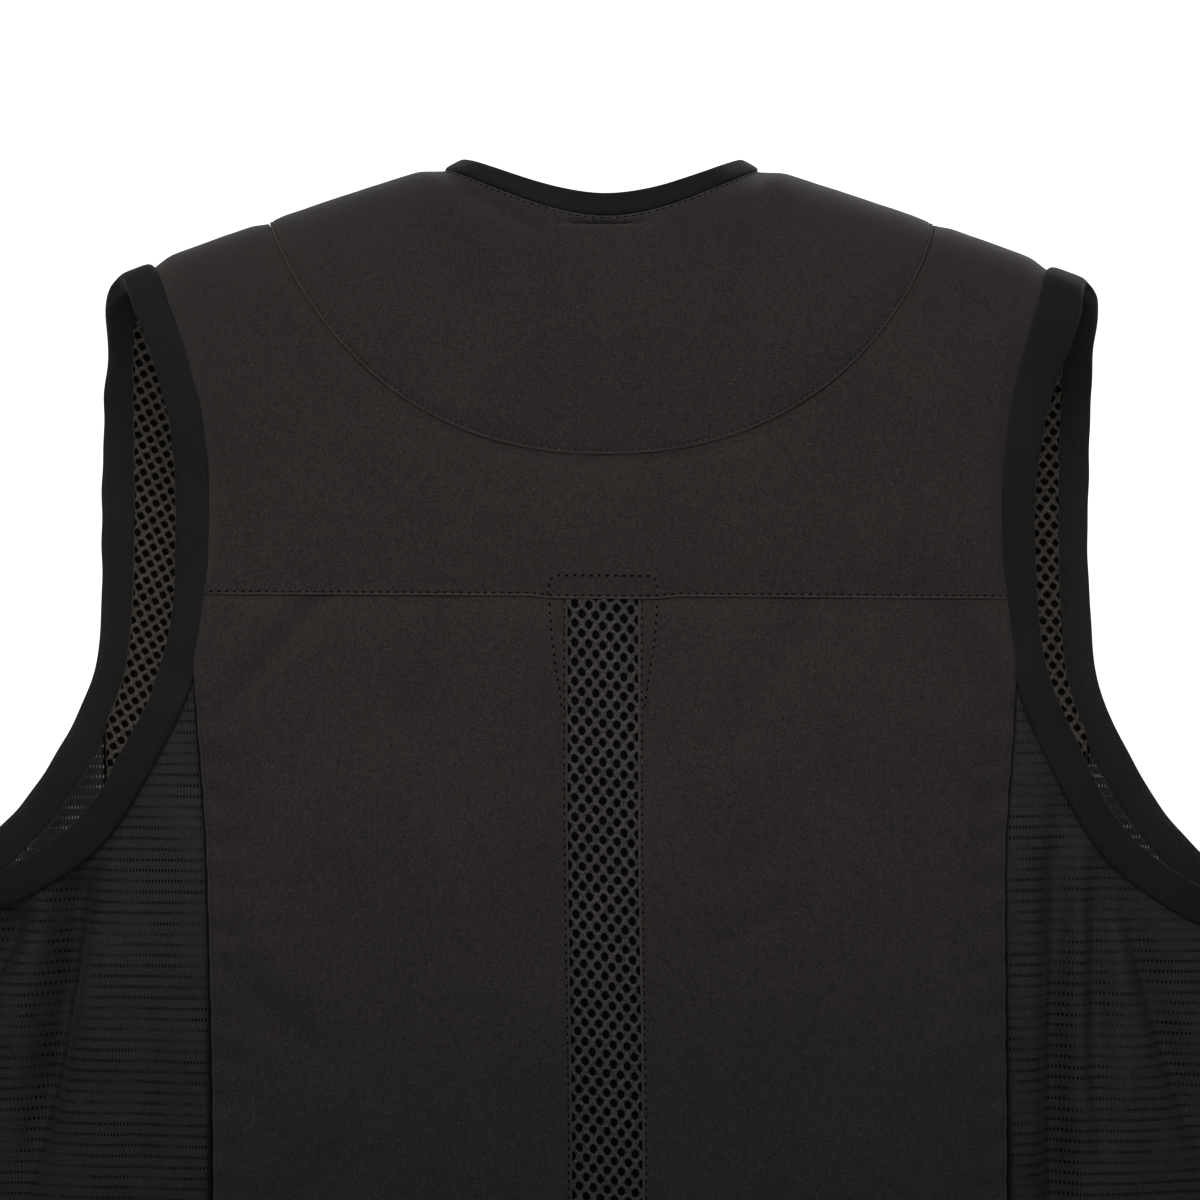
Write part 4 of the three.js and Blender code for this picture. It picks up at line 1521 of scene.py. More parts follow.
@dataclass(frozen=True)
class SpacerYarn:
    """Knitted yarn of the spacer mesh, with painted shade at the bottom of its holes."""

    name: str = "spacer_yarn"
    dark: Colour = (0.016, 0.0140, 0.0137)
    light: Colour = (0.090, 0.080, 0.076)
    # Colour of the painted shade at the bottom of the holes.
    pit: Colour = (0.0018, 0.0016, 0.0016)
    yarn_scale: float = 1300.0
    glint_scale: float = 1700.0

    def paint(self) -> Material:
        """Yarn that varies along its length, with a soft gloss, and painted shade at the bottom of its holes
        by the mesh's mark.

        Returns:
            The material.
        """
        paint = Paint(self.name)
        yarn = paint.noise(self.yarn_scale, 2, (1.0, 1.0, 0.6))
        glint = paint.noise(self.glint_scale, 1).rise(0.52, 0.68)
        pit = paint.mark("pit")
        knit = paint.mix((yarn - 0.34) * 2.0 + 0.8 * glint, self.dark, self.light)
        # Painted shade at the bottom of the holes, by the mesh's mark.
        paint.set(Base_Color=paint.mix(pit.rise(0.1, 0.6), knit, self.pit))
        paint.set(Roughness=0.62 - 0.18 * glint + 0.36 * pit)
        paint.set(Specular_IOR_Level=0.1, Sheen_Weight=0.03, Sheen_Roughness=0.5)
        paint.bump(yarn + 0.6 * glint, 0.25, 0.7)
        return paint.material


@dataclass(frozen=True)
class SideNet:
    """Thin knitted cloth with rows of fine pinholes, painted dark as the shade seen through them."""

    dark: Colour = (0.0152, 0.0133, 0.0134)
    light: Colour = (0.0335, 0.0292, 0.0295)
    # Colour of the painted shade in the pinholes and along the seams.
    hole: Colour = (0.0012, 0.0011, 0.0011)
    hole_pitch: float = 1.36
    row_pitch: float = 4.35
    hole_half: float = 0.36
    hole_tall: float = 0.66
    openness: float = 0.3
    faintest: float = 0.35
    drift_scale: float = 60.0
    fade_scale: float = 55.0
    grain_scale: float = 900.0
    gloss_scale: float = 500.0

    def paint(self) -> Material:
        """Pinholes painted dark as shade in level rows, partly open where marked, painted seam shade, fine
        wales between.

        Returns:
            The material.
        """
        paint = Paint("side_net")
        across, down = paint.chart()
        drift = 0.5 * paint.noise(self.drift_scale, 2)
        column = ((across + drift) / self.hole_pitch).wrapped().size() * self.hole_pitch
        row = ((down + drift) / self.row_pitch).wrapped().size() * self.row_pitch
        narrow = 1 - column.rise(0.75 * self.hole_half, 1.25 * self.hole_half)
        inside = narrow * (1 - row.rise(0.8 * self.hole_tall, 1.2 * self.hole_tall))
        clear = paint.noise(self.fade_scale, 2).rise(0.36, 0.56)
        inside = inside * (self.faintest + (1 - self.faintest) * clear)
        wale = (across / self.hole_pitch).wave() * (down / self.hole_pitch).wave()
        grain, blotch = paint.noise(self.grain_scale, 2) - 0.5, paint.noise(self.drift_scale, 3) - 0.5
        tone = 0.5 + 0.25 * wale + 1.4 * grain + 0.5 * blotch
        # Painted shade: the pinholes and the shade mark along the seams take the hole colour.
        sunk = inside.larger(paint.mark("shade"))
        paint.set(Base_Color=paint.mix(sunk, paint.mix(tone, self.dark, self.light), self.hole))
        paint.set(Alpha=1 - self.openness * inside * paint.mark("open"))
        paint.set(Roughness=0.62 + 0.15 * paint.noise(self.gloss_scale, 2), Specular_IOR_Level=0.08)
        paint.set(Sheen_Weight=0.03, Sheen_Roughness=0.4)
        paint.bump(0.4 * wale + row / self.row_pitch * 1.5, 0.12, 0.5)
        return paint.material


@dataclass(frozen=True)
class ElasticTape:
    """Folded elastic binding: fine ribs across it, dull outside, and paler inside the vest by painted light.
    """

    dark: Colour = (0.0056, 0.0050, 0.0051)
    light: Colour = (0.0155, 0.0139, 0.0143)
    # Paler colours of the inner face, which are painted light.
    painted_lit_inside_dark: Colour = (0.0130, 0.0128, 0.0130)
    painted_lit_inside_light: Colour = (0.0260, 0.0256, 0.0260)
    rib: float = 0.85
    waver_scale: float = 500.0
    grain_scale: float = 900.0
    blotch_scale: float = 40.0

    def paint(self) -> Material:
        """Ribs along the tape's length, broken by noise, and painted light on the inner face.

        Returns:
            The material.
        """
        paint = Paint("elastic_tape")
        along, _ = paint.chart()
        rib = (along / self.rib + 0.3 * paint.noise(self.waver_scale, 2)).wave()
        grain = paint.noise(self.grain_scale, 3)
        tone = 0.5 + 0.22 * rib + 1.3 * (grain - 0.5) + 0.7 * (paint.noise(self.blotch_scale, 2) - 0.5)
        outside = paint.mix(tone, self.dark, self.light)
        # Painted light: the inner face takes the paler colours by the inside mark.
        inside = paint.mix(tone, self.painted_lit_inside_dark, self.painted_lit_inside_light)
        paint.set(Base_Color=paint.mix(paint.mark("inside"), outside, inside), Roughness=0.66 + 0.2 * grain)
        paint.set(Specular_IOR_Level=0.1, Sheen_Weight=0.03, Sheen_Roughness=0.5)
        paint.bump(0.5 * rib + grain, 0.08, 0.5)
        return paint.material


@dataclass(frozen=True)
class Thread:
    """Twisted sewing thread."""

    dark: Colour = (0.0100, 0.0088, 0.0082)
    light: Colour = (0.0700, 0.0640, 0.0600)
    twist_scale: float = 900.0

    def paint(self) -> Material:
        """Dark thread with lighter glints of its twist.

        Returns:
            The material.
        """
        paint = Paint("thread")
        twist = paint.noise(self.twist_scale, 2)
        paint.set(Base_Color=paint.mix(twist.rise(0.35, 0.8), self.dark, self.light))
        paint.set(Roughness=0.5 + 0.2 * twist, Specular_IOR_Level=0.25)
        paint.bump(twist, 0.1, 0.5)
        return paint.material


@dataclass(frozen=True)
class ZipTape:
    """Woven zip tape with a herringbone."""

    dark: Colour = (0.009, 0.009, 0.009)
    light: Colour = (0.017, 0.0165, 0.0165)
    rib: float = 1.1
    bone: float = 2.4

    def paint(self) -> Material:
        """Slanted ribs that turn back along the tape.

        Returns:
            The material.
        """
        paint = Paint("zip_tape")
        across, down = paint.chart()
        rib = ((down + (across / self.bone).wrapped().size() * self.bone) / self.rib).wave()
        paint.set(Base_Color=paint.mix(0.5 + 0.4 * rib, self.dark, self.light), Roughness=0.7 + 0.1 * rib)
        paint.bump(rib, 0.1, 0.5)
        return paint.material


@dataclass(frozen=True)
class NeedleHoleShadow:
    """The painted shadow in a needle's hole."""

    dark: Colour = (0.0009, 0.0008, 0.0008)
    light: Colour = (0.003, 0.0027, 0.0026)
    scuff_scale: float = 260.0

    def paint(self) -> Material:
        """A dull black painted shadow with fine scuffs.

        Returns:
            The material.
        """
        paint = Paint("needle_hole_shadow")
        scuff = paint.noise(self.scuff_scale, 4).rise(0.5, 0.8)
        paint.set(Base_Color=paint.mix(scuff, self.dark, self.light), Roughness=0.8 + 0.2 * scuff)
        paint.set(Specular_IOR_Level=0.0)
        return paint.material


LINING_YARN = SpacerYarn("lining_yarn", dark=(0.030, 0.025, 0.021), light=(0.120, 0.099, 0.082))


# Sub-assemblies of the vest


@dataclass
class Wardrobe:
    """The finishes and the stitch rows that the sub-assemblies share."""

    shell: Material
    spacer: Material
    lining: Material
    net: Material
    tape: Material
    thread: Material
    shadow: Material
    seams: Stitching
    fine_seams: Stitching

    @classmethod
    def stocked(cls) -> "Wardrobe":
        """All finishes painted, with no stitch sewn yet.

        Returns:
            The wardrobe.
        """
        return cls(
            ShellCloth().paint(),
            SpacerYarn().paint(),
            LINING_YARN.paint(),
            SideNet().paint(),
            ElasticTape().paint(),
            Thread().paint(),
            NeedleHoleShadow().paint(),
            Stitching("stitches"),
            Stitching("fine_stitches", pitch=2.6, length=1.6, radius=0.18, hole_length=0.9, hole_radius=0.32),
        )

    def sew_all(self) -> None:
        """Makes the stitches of all rows."""
        for stitching in (self.seams, self.fine_seams):
            stitching.make(self.thread, self.shadow, "shell_fabric")


SEWN_FLAT = EdgeFinish(roll=0.7, pinch=1.1, reach=9.0)
BOUND = EdgeFinish(roll=0.7, pinch=2.7, reach=13.0)
LAPPED_OVER = EdgeFinish(roll=0.6, pinch=0.7, reach=9.0)
ROLLED = EdgeFinish(roll=3.2, pinch=0.6, reach=14.0)


@dataclass
class PaddedPanel:
    """A padded panel of shell cloth.

    Attributes:
        name: its name, which is its CAD node's.
        cloth: its middle surface.
        padding: its thickness and edges.
        folds: edges along which a lighter line is painted on the folded cloth as a highlight, with the line's
            strength.
        ripples: unevenness of its outer face.
        creases: creases of its outer face.
        grooves: sunk stitch rows, each an edge and a distance from it.
        swelling: the simulation that puffs it up.
        sewn: share of each column in the folds and grooves.
        sunk: edges that lie in the shade under a neighbour's fold.
    """

    name: str
    cloth: Cloth
    padding: Padding
    folds: tuple[tuple[Edge, float], ...] = ()
    ripples: tuple[Ripple, ...] = BACK_RIPPLES
    creases: tuple[Crease, ...] = ()
    grooves: tuple[tuple[Edge, float], ...] = ()
    groove_depth: float = 0.35
    groove_width: float = 0.55
    # Middle and width of the painted highlight line along folded edges.
    highlight_middle: float = 0.35
    highlight_width: float = 0.38
    calm_reach: float = 7.0
    swelling: Swelling = Swelling()
    sewn: Array | float = 1.0
    sunk: tuple[Edge, ...] = ()
    sunk_reach: tuple[float, float] = (0.4, 1.0)
    sunk_shade: float = 0.8
    calm_least: float = 0.12
    fill: float = 0.55
    path_step: float = 0.5

    @cached_property
    def height(self) -> Array:
        """Height of the outer face: the padding, the swelling, and ripples that calm down near the edges.

        Returns:
            The height at each point, 0 along the edges.
        """
        calm = np.ones_like(self.cloth.down)
        for edge in Edge:
            calm = calm * lerp(self.calm_least, 1, smooth(self.cloth.distance(edge), 0, self.calm_reach))
        padded = self.padding.offset(self.cloth)
        rise = self.swelling.rise(self.cloth, self.cloth.points + self.cloth.normals * padded[..., None])
        height = padded + rise + sum(ripple.at(self.cloth.points) for ripple in self.ripples) * calm
        height = height - sum(crease.at(self.cloth.points) for crease in self.creases)
        for edge, distance in self.grooves:
            groove = bell(self.cloth.distance(edge) - distance, self.groove_width)
            height = height - self.groove_depth * groove * self.sewn
        height[[0, -1], :] = 0
        height[:, [0, -1]] = 0
        return height

    @property
    def outer(self) -> Array:
        """Outer face of the panel."""
        return self.cloth.points + self.cloth.normals * self.height[..., None]

    @property
    def inner(self) -> Array:
        """Inner face: the padding's offset alone."""
        return self.cloth.points - self.cloth.normals * self.padding.offset(self.cloth)[..., None]

    def make(self, wardrobe: Wardrobe) -> bpy.types.Object:
        """Makes the panel as a padded piece in place of its CAD node.

        Args:
            wardrobe: the finishes and the stitch rows.

        Returns:
            The panel's object.
        """
        # Painted highlight along folded edges, and painted shade in creases and along sunk edges, as marks
        # for the shell cloth.
        fold = np.zeros_like(self.cloth.down)
        for edge, strength in self.folds:
            line = bell(self.cloth.distance(edge) - self.highlight_middle, self.highlight_width)
            fold = np.maximum(fold, strength * line * self.sewn)
        shade = sum((crease.shade(self.cloth.points) for crease in self.creases), np.zeros_like(fold))
        for edge in self.sunk:
            near = 1 - smooth(self.cloth.distance(edge), *self.sunk_reach)
            shade = np.maximum(shade, self.sunk_shade * near)
        marks = {"fold": fold, "shade": shade}
        piece = self.cloth.shell(self.name, self.outer, self.inner, self.cloth.chart, marks)
        made = piece.make(wardrobe.shell, "shell_fabric", [self.name])
        return made

    def stitch(self, stitching: Stitching, edge: Edge, distance: float, keep: Array | None = None) -> None:
        """Sews a row at a distance from an edge, along all of it or where keep is true.

        Args:
            stitching: takes the row.
            edge: which edge.
            distance: how far from it.
            keep: where the row is sewn.
        """
        points = self.cloth.line(self.outer, edge, distance)
        normals = self.cloth.line(self.cloth.normals, edge, distance)
        keep = np.ones(len(points), bool) if keep is None else keep
        stitching.sew(points[keep], normals[keep])

    def stitch_path(self, stitching: Stitching, form: Form, path: Sequence[tuple[float, float]]) -> None:
        """Sews a row on the back along straight runs between half widths and drops.

        Args:
            stitching: takes the row.
            form: the middle surface.
            path: corners of the row, as half width and drop.
        """
        corners = np.array(path, float)
        lengths = run_lengths(corners, 0)
        run = np.linspace(0, lengths[-1], int(lengths[-1] / self.path_step) + 2)
        x, drop = (np.interp(run, lengths, corners[:, k]) for k in range(2))
        spots = form.spot(x, drop, 1)
        middle, normals = form.point(spots), form.normal(spots)
        apart = self.cloth.points.reshape(1, -1, 3) - middle[:, None, :]
        near = np.argmin(np.sum(apart**2, axis=-1), axis=1)
        stitching.sew(middle + normals * self.height.ravel()[near, None], normals)


@dataclass
class YokeAssembly:
    """The rounded insert below the neck and the yoke round it, down to the cross seam."""

    pattern: Pattern
    thick: float = 8.0
    front_columns: float = 2.4
    armhole_columns: int = 50
    seam_columns: int = 62
    front_length: float = 50.0
    insert_length: float = 96.0
    yoke_length: float = 66.0
    row_step: float = 3.2
    neck_stitch: float = 1.3
    fold_stitch: float = 1.5
    seam_stitch: float = 1.3
    corner_ease: float = 0.03
    # Strengths of the painted highlight along the seams' folded edges.
    seam_highlight: float = 0.8
    insert_highlight: float = 0.5
    half_tab: tuple[tuple[float, float], ...] = ((22.3, 176.6), (21.6, 171.6), (20.2, 169.6), (18.6, 169.2))

    @property
    def steps(self) -> Array:
        """Yoke steps of the columns: close at the front shoulder seams, with one at the yoke's corner.

        Returns:
            The steps, from the right front seam to the left one.
        """
        half = spaced(2 * self.front_length, self.front_columns) * 2
        front = half[half < 1] - 1
        corner = self.pattern.corner_step
        side = np.linspace(0, corner, self.armhole_columns + 1)[:-1]
        below = np.linspace(corner, 1, self.seam_columns + 1)
        right = np.concatenate([front, side, below])
        return np.concatenate([right, 2 - right[-2::-1]])

    def build(self, wardrobe: Wardrobe) -> None:
        """Makes both panels and sews their seams.

        Args:
            wardrobe: the finishes and the stitch rows.
        """
        steps = self.steps
        us = (steps + 1) / 4
        pattern = self.pattern
        ends = ((Edge.LEFT, SEWN_FLAT), (Edge.RIGHT, SEWN_FLAT))
        beyond = np.abs(steps - 1) - (1 - pattern.corner_step)
        sewn = 1 - smooth(beyond, -self.corner_ease, self.corner_ease)
        rim = EdgeFinish(
            LAPPED_OVER.roll,
            lerp(BOUND.pinch, LAPPED_OVER.pinch, sewn),
            lerp(BOUND.reach, LAPPED_OVER.reach, sewn),
        )
        upper = pattern.yoke_patch(pattern.neck_line, pattern.insert_line)
        lower = pattern.yoke_patch(pattern.insert_line, pattern.yoke_rim)
        insert = PaddedPanel(
            "yoke_insert",
            Cloth.cut(pattern.form, upper, us, spaced(self.insert_length, self.row_step)),
            Padding(self.thick, ((Edge.TOP, BOUND), (Edge.BOTTOM, LAPPED_OVER), *ends)),
            ((Edge.BOTTOM, self.insert_highlight), (Edge.TOP, self.seam_highlight)),
            creases=NECK_CREASES,
            grooves=((Edge.TOP, self.neck_stitch), (Edge.BOTTOM, self.fold_stitch)),
        )
        yoke = PaddedPanel(
            "yoke",
            Cloth.cut(pattern.form, lower, us, spaced(self.yoke_length, self.row_step)),
            Padding(self.thick, ((Edge.TOP, SEWN_FLAT), (Edge.BOTTOM, rim), *ends)),
            ((Edge.BOTTOM, self.seam_highlight),),
            grooves=((Edge.BOTTOM, self.seam_stitch),),
            sewn=sewn,
            sunk=(Edge.TOP,),
        )
        insert.make(wardrobe)
        yoke.make(wardrobe)
        insert.stitch(wardrobe.seams, Edge.TOP, self.neck_stitch)
        insert.stitch(wardrobe.fine_seams, Edge.BOTTOM, self.fold_stitch)
        yoke.stitch(wardrobe.seams, Edge.BOTTOM, self.seam_stitch, beyond <= 0)
        tab = [(-half, drop) for half, drop in self.half_tab] + list(reversed(self.half_tab))
        yoke.stitch_path(wardrobe.seams, pattern.form, tab)


@dataclass
class BackAssembly:
    """The two back panels below the cross seam, either side of the mesh strip."""

    pattern: Pattern
    thick: float = 8.0
    width: float = 150.0
    length: float = 421.0
    step: float = 3.6
    edge_stitch: float = 1.3
    # Strength of the painted highlight along the folded edge by the strip.
    edge_highlight: float = 0.35
    edges: tuple[tuple[Edge, EdgeFinish], ...] = (
        (Edge.TOP, SEWN_FLAT),
        (Edge.BOTTOM, BOUND),
        (Edge.LEFT, LAPPED_OVER),
        (Edge.RIGHT, ROLLED),
    )
    slant: tuple[tuple[float, float], ...] = ((21.9, 178.6), (20.7, 195), (18.4, 211), (16.3, 225))
    left_folds: tuple[Crease, ...] = (
        Crease(-114, 172, -158, 224, 3.4, 6.0),
        Crease(-64, 174, -84, 238, 2.2, 8.0),
        Crease(-154, 330, -104, 372, 2.4, 8.0),
    )
    right_folds: tuple[Crease, ...] = (
        Crease(84, 174, 44, 245, 2.2, 8.5),
        Crease(136, 174, 168, 226, 3.0, 6.5),
        Crease(40, 318, 78, 300, 1.6, 6.0),
    )
    puckers: tuple[float, ...] = (222, 240, 255, 273, 290, 309, 325, 344, 361, 378, 397, 415)
    pucker_out: float = 10.0
    pucker_in: float = 17.0
    pucker_fall: float = 5.0
    pucker_depth: float = 1.7
    pucker_width: float = 4.2

    def creases(self, side: Side) -> tuple[Crease, ...]:
        """Soft folds below the cross seam, and short puckers that run in from the side seam.

        Args:
            side: which panel.

        Returns:
            The panel's creases.
        """
        folds = self.right_folds if side is Side.RIGHT else self.left_folds
        seam = self.pattern.back_side(np.array(self.puckers))
        near, far = side.sign * (seam + self.pucker_out), side.sign * (seam - self.pucker_in)
        size = (self.pucker_depth, self.pucker_width)
        return folds + tuple(
            Crease(start, drop, end, drop + self.pucker_fall, *size)
            for start, drop, end in zip(near, self.puckers, far)
        )

    def build(self, wardrobe: Wardrobe) -> None:
        """Makes the panels, and sews the rows along the strip.

        Args:
            wardrobe: the finishes and the stitch rows.
        """
        us, vs = spaced(self.width, self.step), spaced(self.length, self.step)
        for side in Side:
            panel = PaddedPanel(
                f"back_panel_{side.value}",
                Cloth.cut(self.pattern.form, side.patch(self.pattern.back_patch()), us, vs),
                Padding(self.thick, self.edges),
                ((Edge.LEFT, self.edge_highlight),),
                grooves=((Edge.LEFT, self.edge_stitch),),
                creases=self.creases(side),
                sunk=(Edge.TOP,),
            )
            panel.make(wardrobe)
            panel.stitch(wardrobe.seams, Edge.LEFT, self.edge_stitch)
            slant = [(side.sign * half, drop) for half, drop in self.slant]
            panel.stitch_path(wardrobe.seams, self.pattern.form, slant)


class Ring(NamedTuple):
    """A ring between a cell's outline (share 0) and its hole (share 1): its depth and share of painted shade.
    """

    share: float
    depth: float
    pit: float


Place = Callable[[Array, Array, Array], Array]


@dataclass(frozen=True)
class Lattice:
    """A spacer mesh: holes in staggered rows, each in its own six-sided cell, with rounded ribs between.

    Attributes:
        pitch: distance between holes in a row.
        row: distance between rows.
        hole: half width and half height of a hole.
        cuts: points on each of the six sides of a cell.
        thick: thickness of the mesh.
        skew: slope of the rows.
        lean: shift of the columns aside for each step down.
        rings: rings from a rib's crest down to the bottom of a hole.
        weld: distance within which the corners of neighbouring cells are one point.
        weld_shift: shift of the welding grid, which keeps corners off its lines.
        fill: how tight the mesh is.
    """

    pitch: float = 5.7
    row: float = 3.95
    hole: tuple[float, float] = (1.4, 1.93)
    cuts: int = 2
    thick: float = 3.6
    skew: float = 0.11
    lean: float = 0.0
    rings: tuple[Ring, ...] = (Ring(0.5, 0.1, 0), Ring(0.88, 0.55, 0.08), Ring(1.02, 2.4, 1))
    weld: float = 0.037
    weld_shift: float = 0.3
    fill: float = 0.9

    def outline(self) -> Array:
        """Points round a cell, whose sides stand half way between its hole and the neighbouring holes.

        Returns:
            The points, from a cell's centre.
        """
        side = (self.row**2 - self.pitch**2 / 4) / (2 * self.row)
        tip = (self.row**2 + self.pitch**2 / 4) / (2 * self.row)
        half = self.pitch / 2
        corners = np.array([(half, -side), (half, side), (0, tip), (-half, side), (-half, -side), (0, -tip)])
        share = (np.arange(self.cuts) / self.cuts)[None, :, None]
        return lerp(corners[:, None, :], np.roll(corners, -1, axis=0)[:, None, :], share).reshape(-1, 2)

    def centres(self, low: tuple[float, float], high: tuple[float, float]) -> Array:
        """Centres of the cells over a rectangle, every second row shifted by half a pitch.

        Args:
            low: lowest half width and drop.
            high: highest ones.

        Returns:
            The centres.
        """
        wide = abs(self.lean) * 2 * high[1] + self.pitch
        tall = abs(self.skew) * 2 * high[0] + 2 * self.row
        count = lambda start, end, step: np.arange(math.floor(start / step), math.ceil(end / step) + 1)
        columns = count(low[0] - wide, high[0] + wide, self.pitch)
        rows = count(low[1] - tall, high[1] + tall, self.row)
        column, row = np.meshgrid(columns, rows)
        return np.stack([(column + 0.5 * (row % 2)) * self.pitch, row * self.row], axis=-1).reshape(-1, 2)

    def sheared(self, flat: Array) -> Array:
        """Flat points with the rows sloped and the columns leaning."""
        x, y = flat[..., 0], flat[..., 1]
        return np.stack([x + self.lean * y, y + self.skew * x], axis=-1)

    def piece(
        self,
        name: str,
        low: tuple[float, float],
        high: tuple[float, float],
        clamp: Callable[[Array], Array],
        place: Place,
    ) -> Piece:
        """A closed mesh with its holes sunk from one face.

        Args:
            name: the piece's name.
            low: lowest half width and drop.
            high: highest half width and drop.
            clamp: moves flat points into the panel's outline.
            place: gives points at half widths, drops and depths below the face.

        Returns:
            The piece: cells joined along their outlines, a plain rear face, and a wall round the edge.
        """
        outline = self.outline()
        centres = self.centres(low, high)
        flat = self.sheared(centres[:, None, :] + outline[None])
        keep = np.any(np.linalg.norm(clamp(flat) - flat, axis=-1) < NUDGE, axis=1)
        centres, flat = centres[keep], flat[keep]
        sides, cells = len(outline), len(centres)
        keys = np.round(flat.reshape(-1, 2) / self.weld + self.weld_shift).astype(np.int64)
        _, first, shared = np.unique(keys, axis=0, return_index=True, return_inverse=True)
        shared = shared.reshape(cells, sides)
        rim = clamp(flat.reshape(-1, 2)[first])
        hole = outline * (1 / np.linalg.norm(outline / np.array(self.hole), axis=-1, keepdims=True))
        shapes = [lerp(outline, hole, ring.share)[None] for ring in self.rings]
        levels = [clamp(self.sheared(centres[:, None, :] + shape)) for shape in shapes]
        depths = [np.full(len(rim), 0.0), np.full(len(rim), self.thick)]
        depths += [np.full(cells * sides, ring.depth) for ring in self.rings]
        # Painted shade at the bottom of the holes: each ring's share, none on the two plain faces.
        pit_shades = [np.zeros(2 * len(rim))] + [np.full(cells * sides, ring.pit) for ring in self.rings]
        spread = np.concatenate([rim, rim] + [level.reshape(-1, 2) for level in levels])
        points = place(spread[:, 0], spread[:, 1], np.concatenate(depths))
        below = 2 * len(rim) + np.arange(len(self.rings) * cells * sides).reshape(-1, cells, sides)
        loops = [shared, *below]
        band = lambda a, b: np.stack([a, np.roll(a, -1, 1), np.roll(b, -1, 1), b], axis=-1).reshape(-1, 4)
        quads = [band(a, b) for a, b in zip(loops, loops[1:])]
        edges = np.stack([shared, np.roll(shared, -1, 1)], axis=-1).reshape(-1, 2)
        _, index, uses = np.unique(np.sort(edges, axis=1), axis=0, return_index=True, return_counts=True)
        border = edges[index[uses == 1]]
        ahead, behind = border.T
        wall = np.stack([behind, ahead, ahead + len(rim), behind + len(rim)], axis=-1)
        faces = [np.concatenate(quads + [wall]), loops[-1], (shared + len(rim))[:, ::-1]]
        return Piece(name, points, faces, spread, {"pit": np.concatenate(pit_shades)})


LINING_RINGS = (Ring(0.6, 0.12, 0), Ring(1, 1.5, 1))


@dataclass
class SpineStrip:
    """The strip of spacer mesh down the middle of the back."""

    pattern: Pattern
    lattice: Lattice = Lattice()
    face: float = 0.9
    bow: float = 0.5
    tuck: float = 0.9

    def build(self, wardrobe: Wardrobe) -> None:
        """Makes the strip, which runs a little under the panels beside it.

        Args:
            wardrobe: the finishes and the stitch rows.
        """
        form = self.pattern.form
        half = self.pattern.spine_half + self.tuck
        top = float(self.pattern.cross_drop(np.array(0.0))) + self.pattern.gap
        low, high = (-half, top), (half, self.pattern.hem_line_drop)
        clamp = lambda flat: np.clip(flat, low, high)

        def place(x: Array, drop: Array, depth: Array) -> Array:
            """Points on the back, at a depth below the strip's face."""
            spots = form.spot(x, drop, 1)
            bow = self.bow * (1 - (x / half) ** 2)
            return form.point(spots) + form.normal(spots) * (self.face + bow - depth)[:, None]

        piece = self.lattice.piece("spine_mesh", low, high, clamp, place)
        piece.make(wardrobe.spacer, "spacer_mesh", [piece.name])


class Fold(NamedTuple):
    """A drape fold of the side mesh: half widths and drops of its valley's ends, its depth and its width."""

    top_half: float
    low_half: float
    top_drop: float
    low_drop: float
    depth: float
    width: float


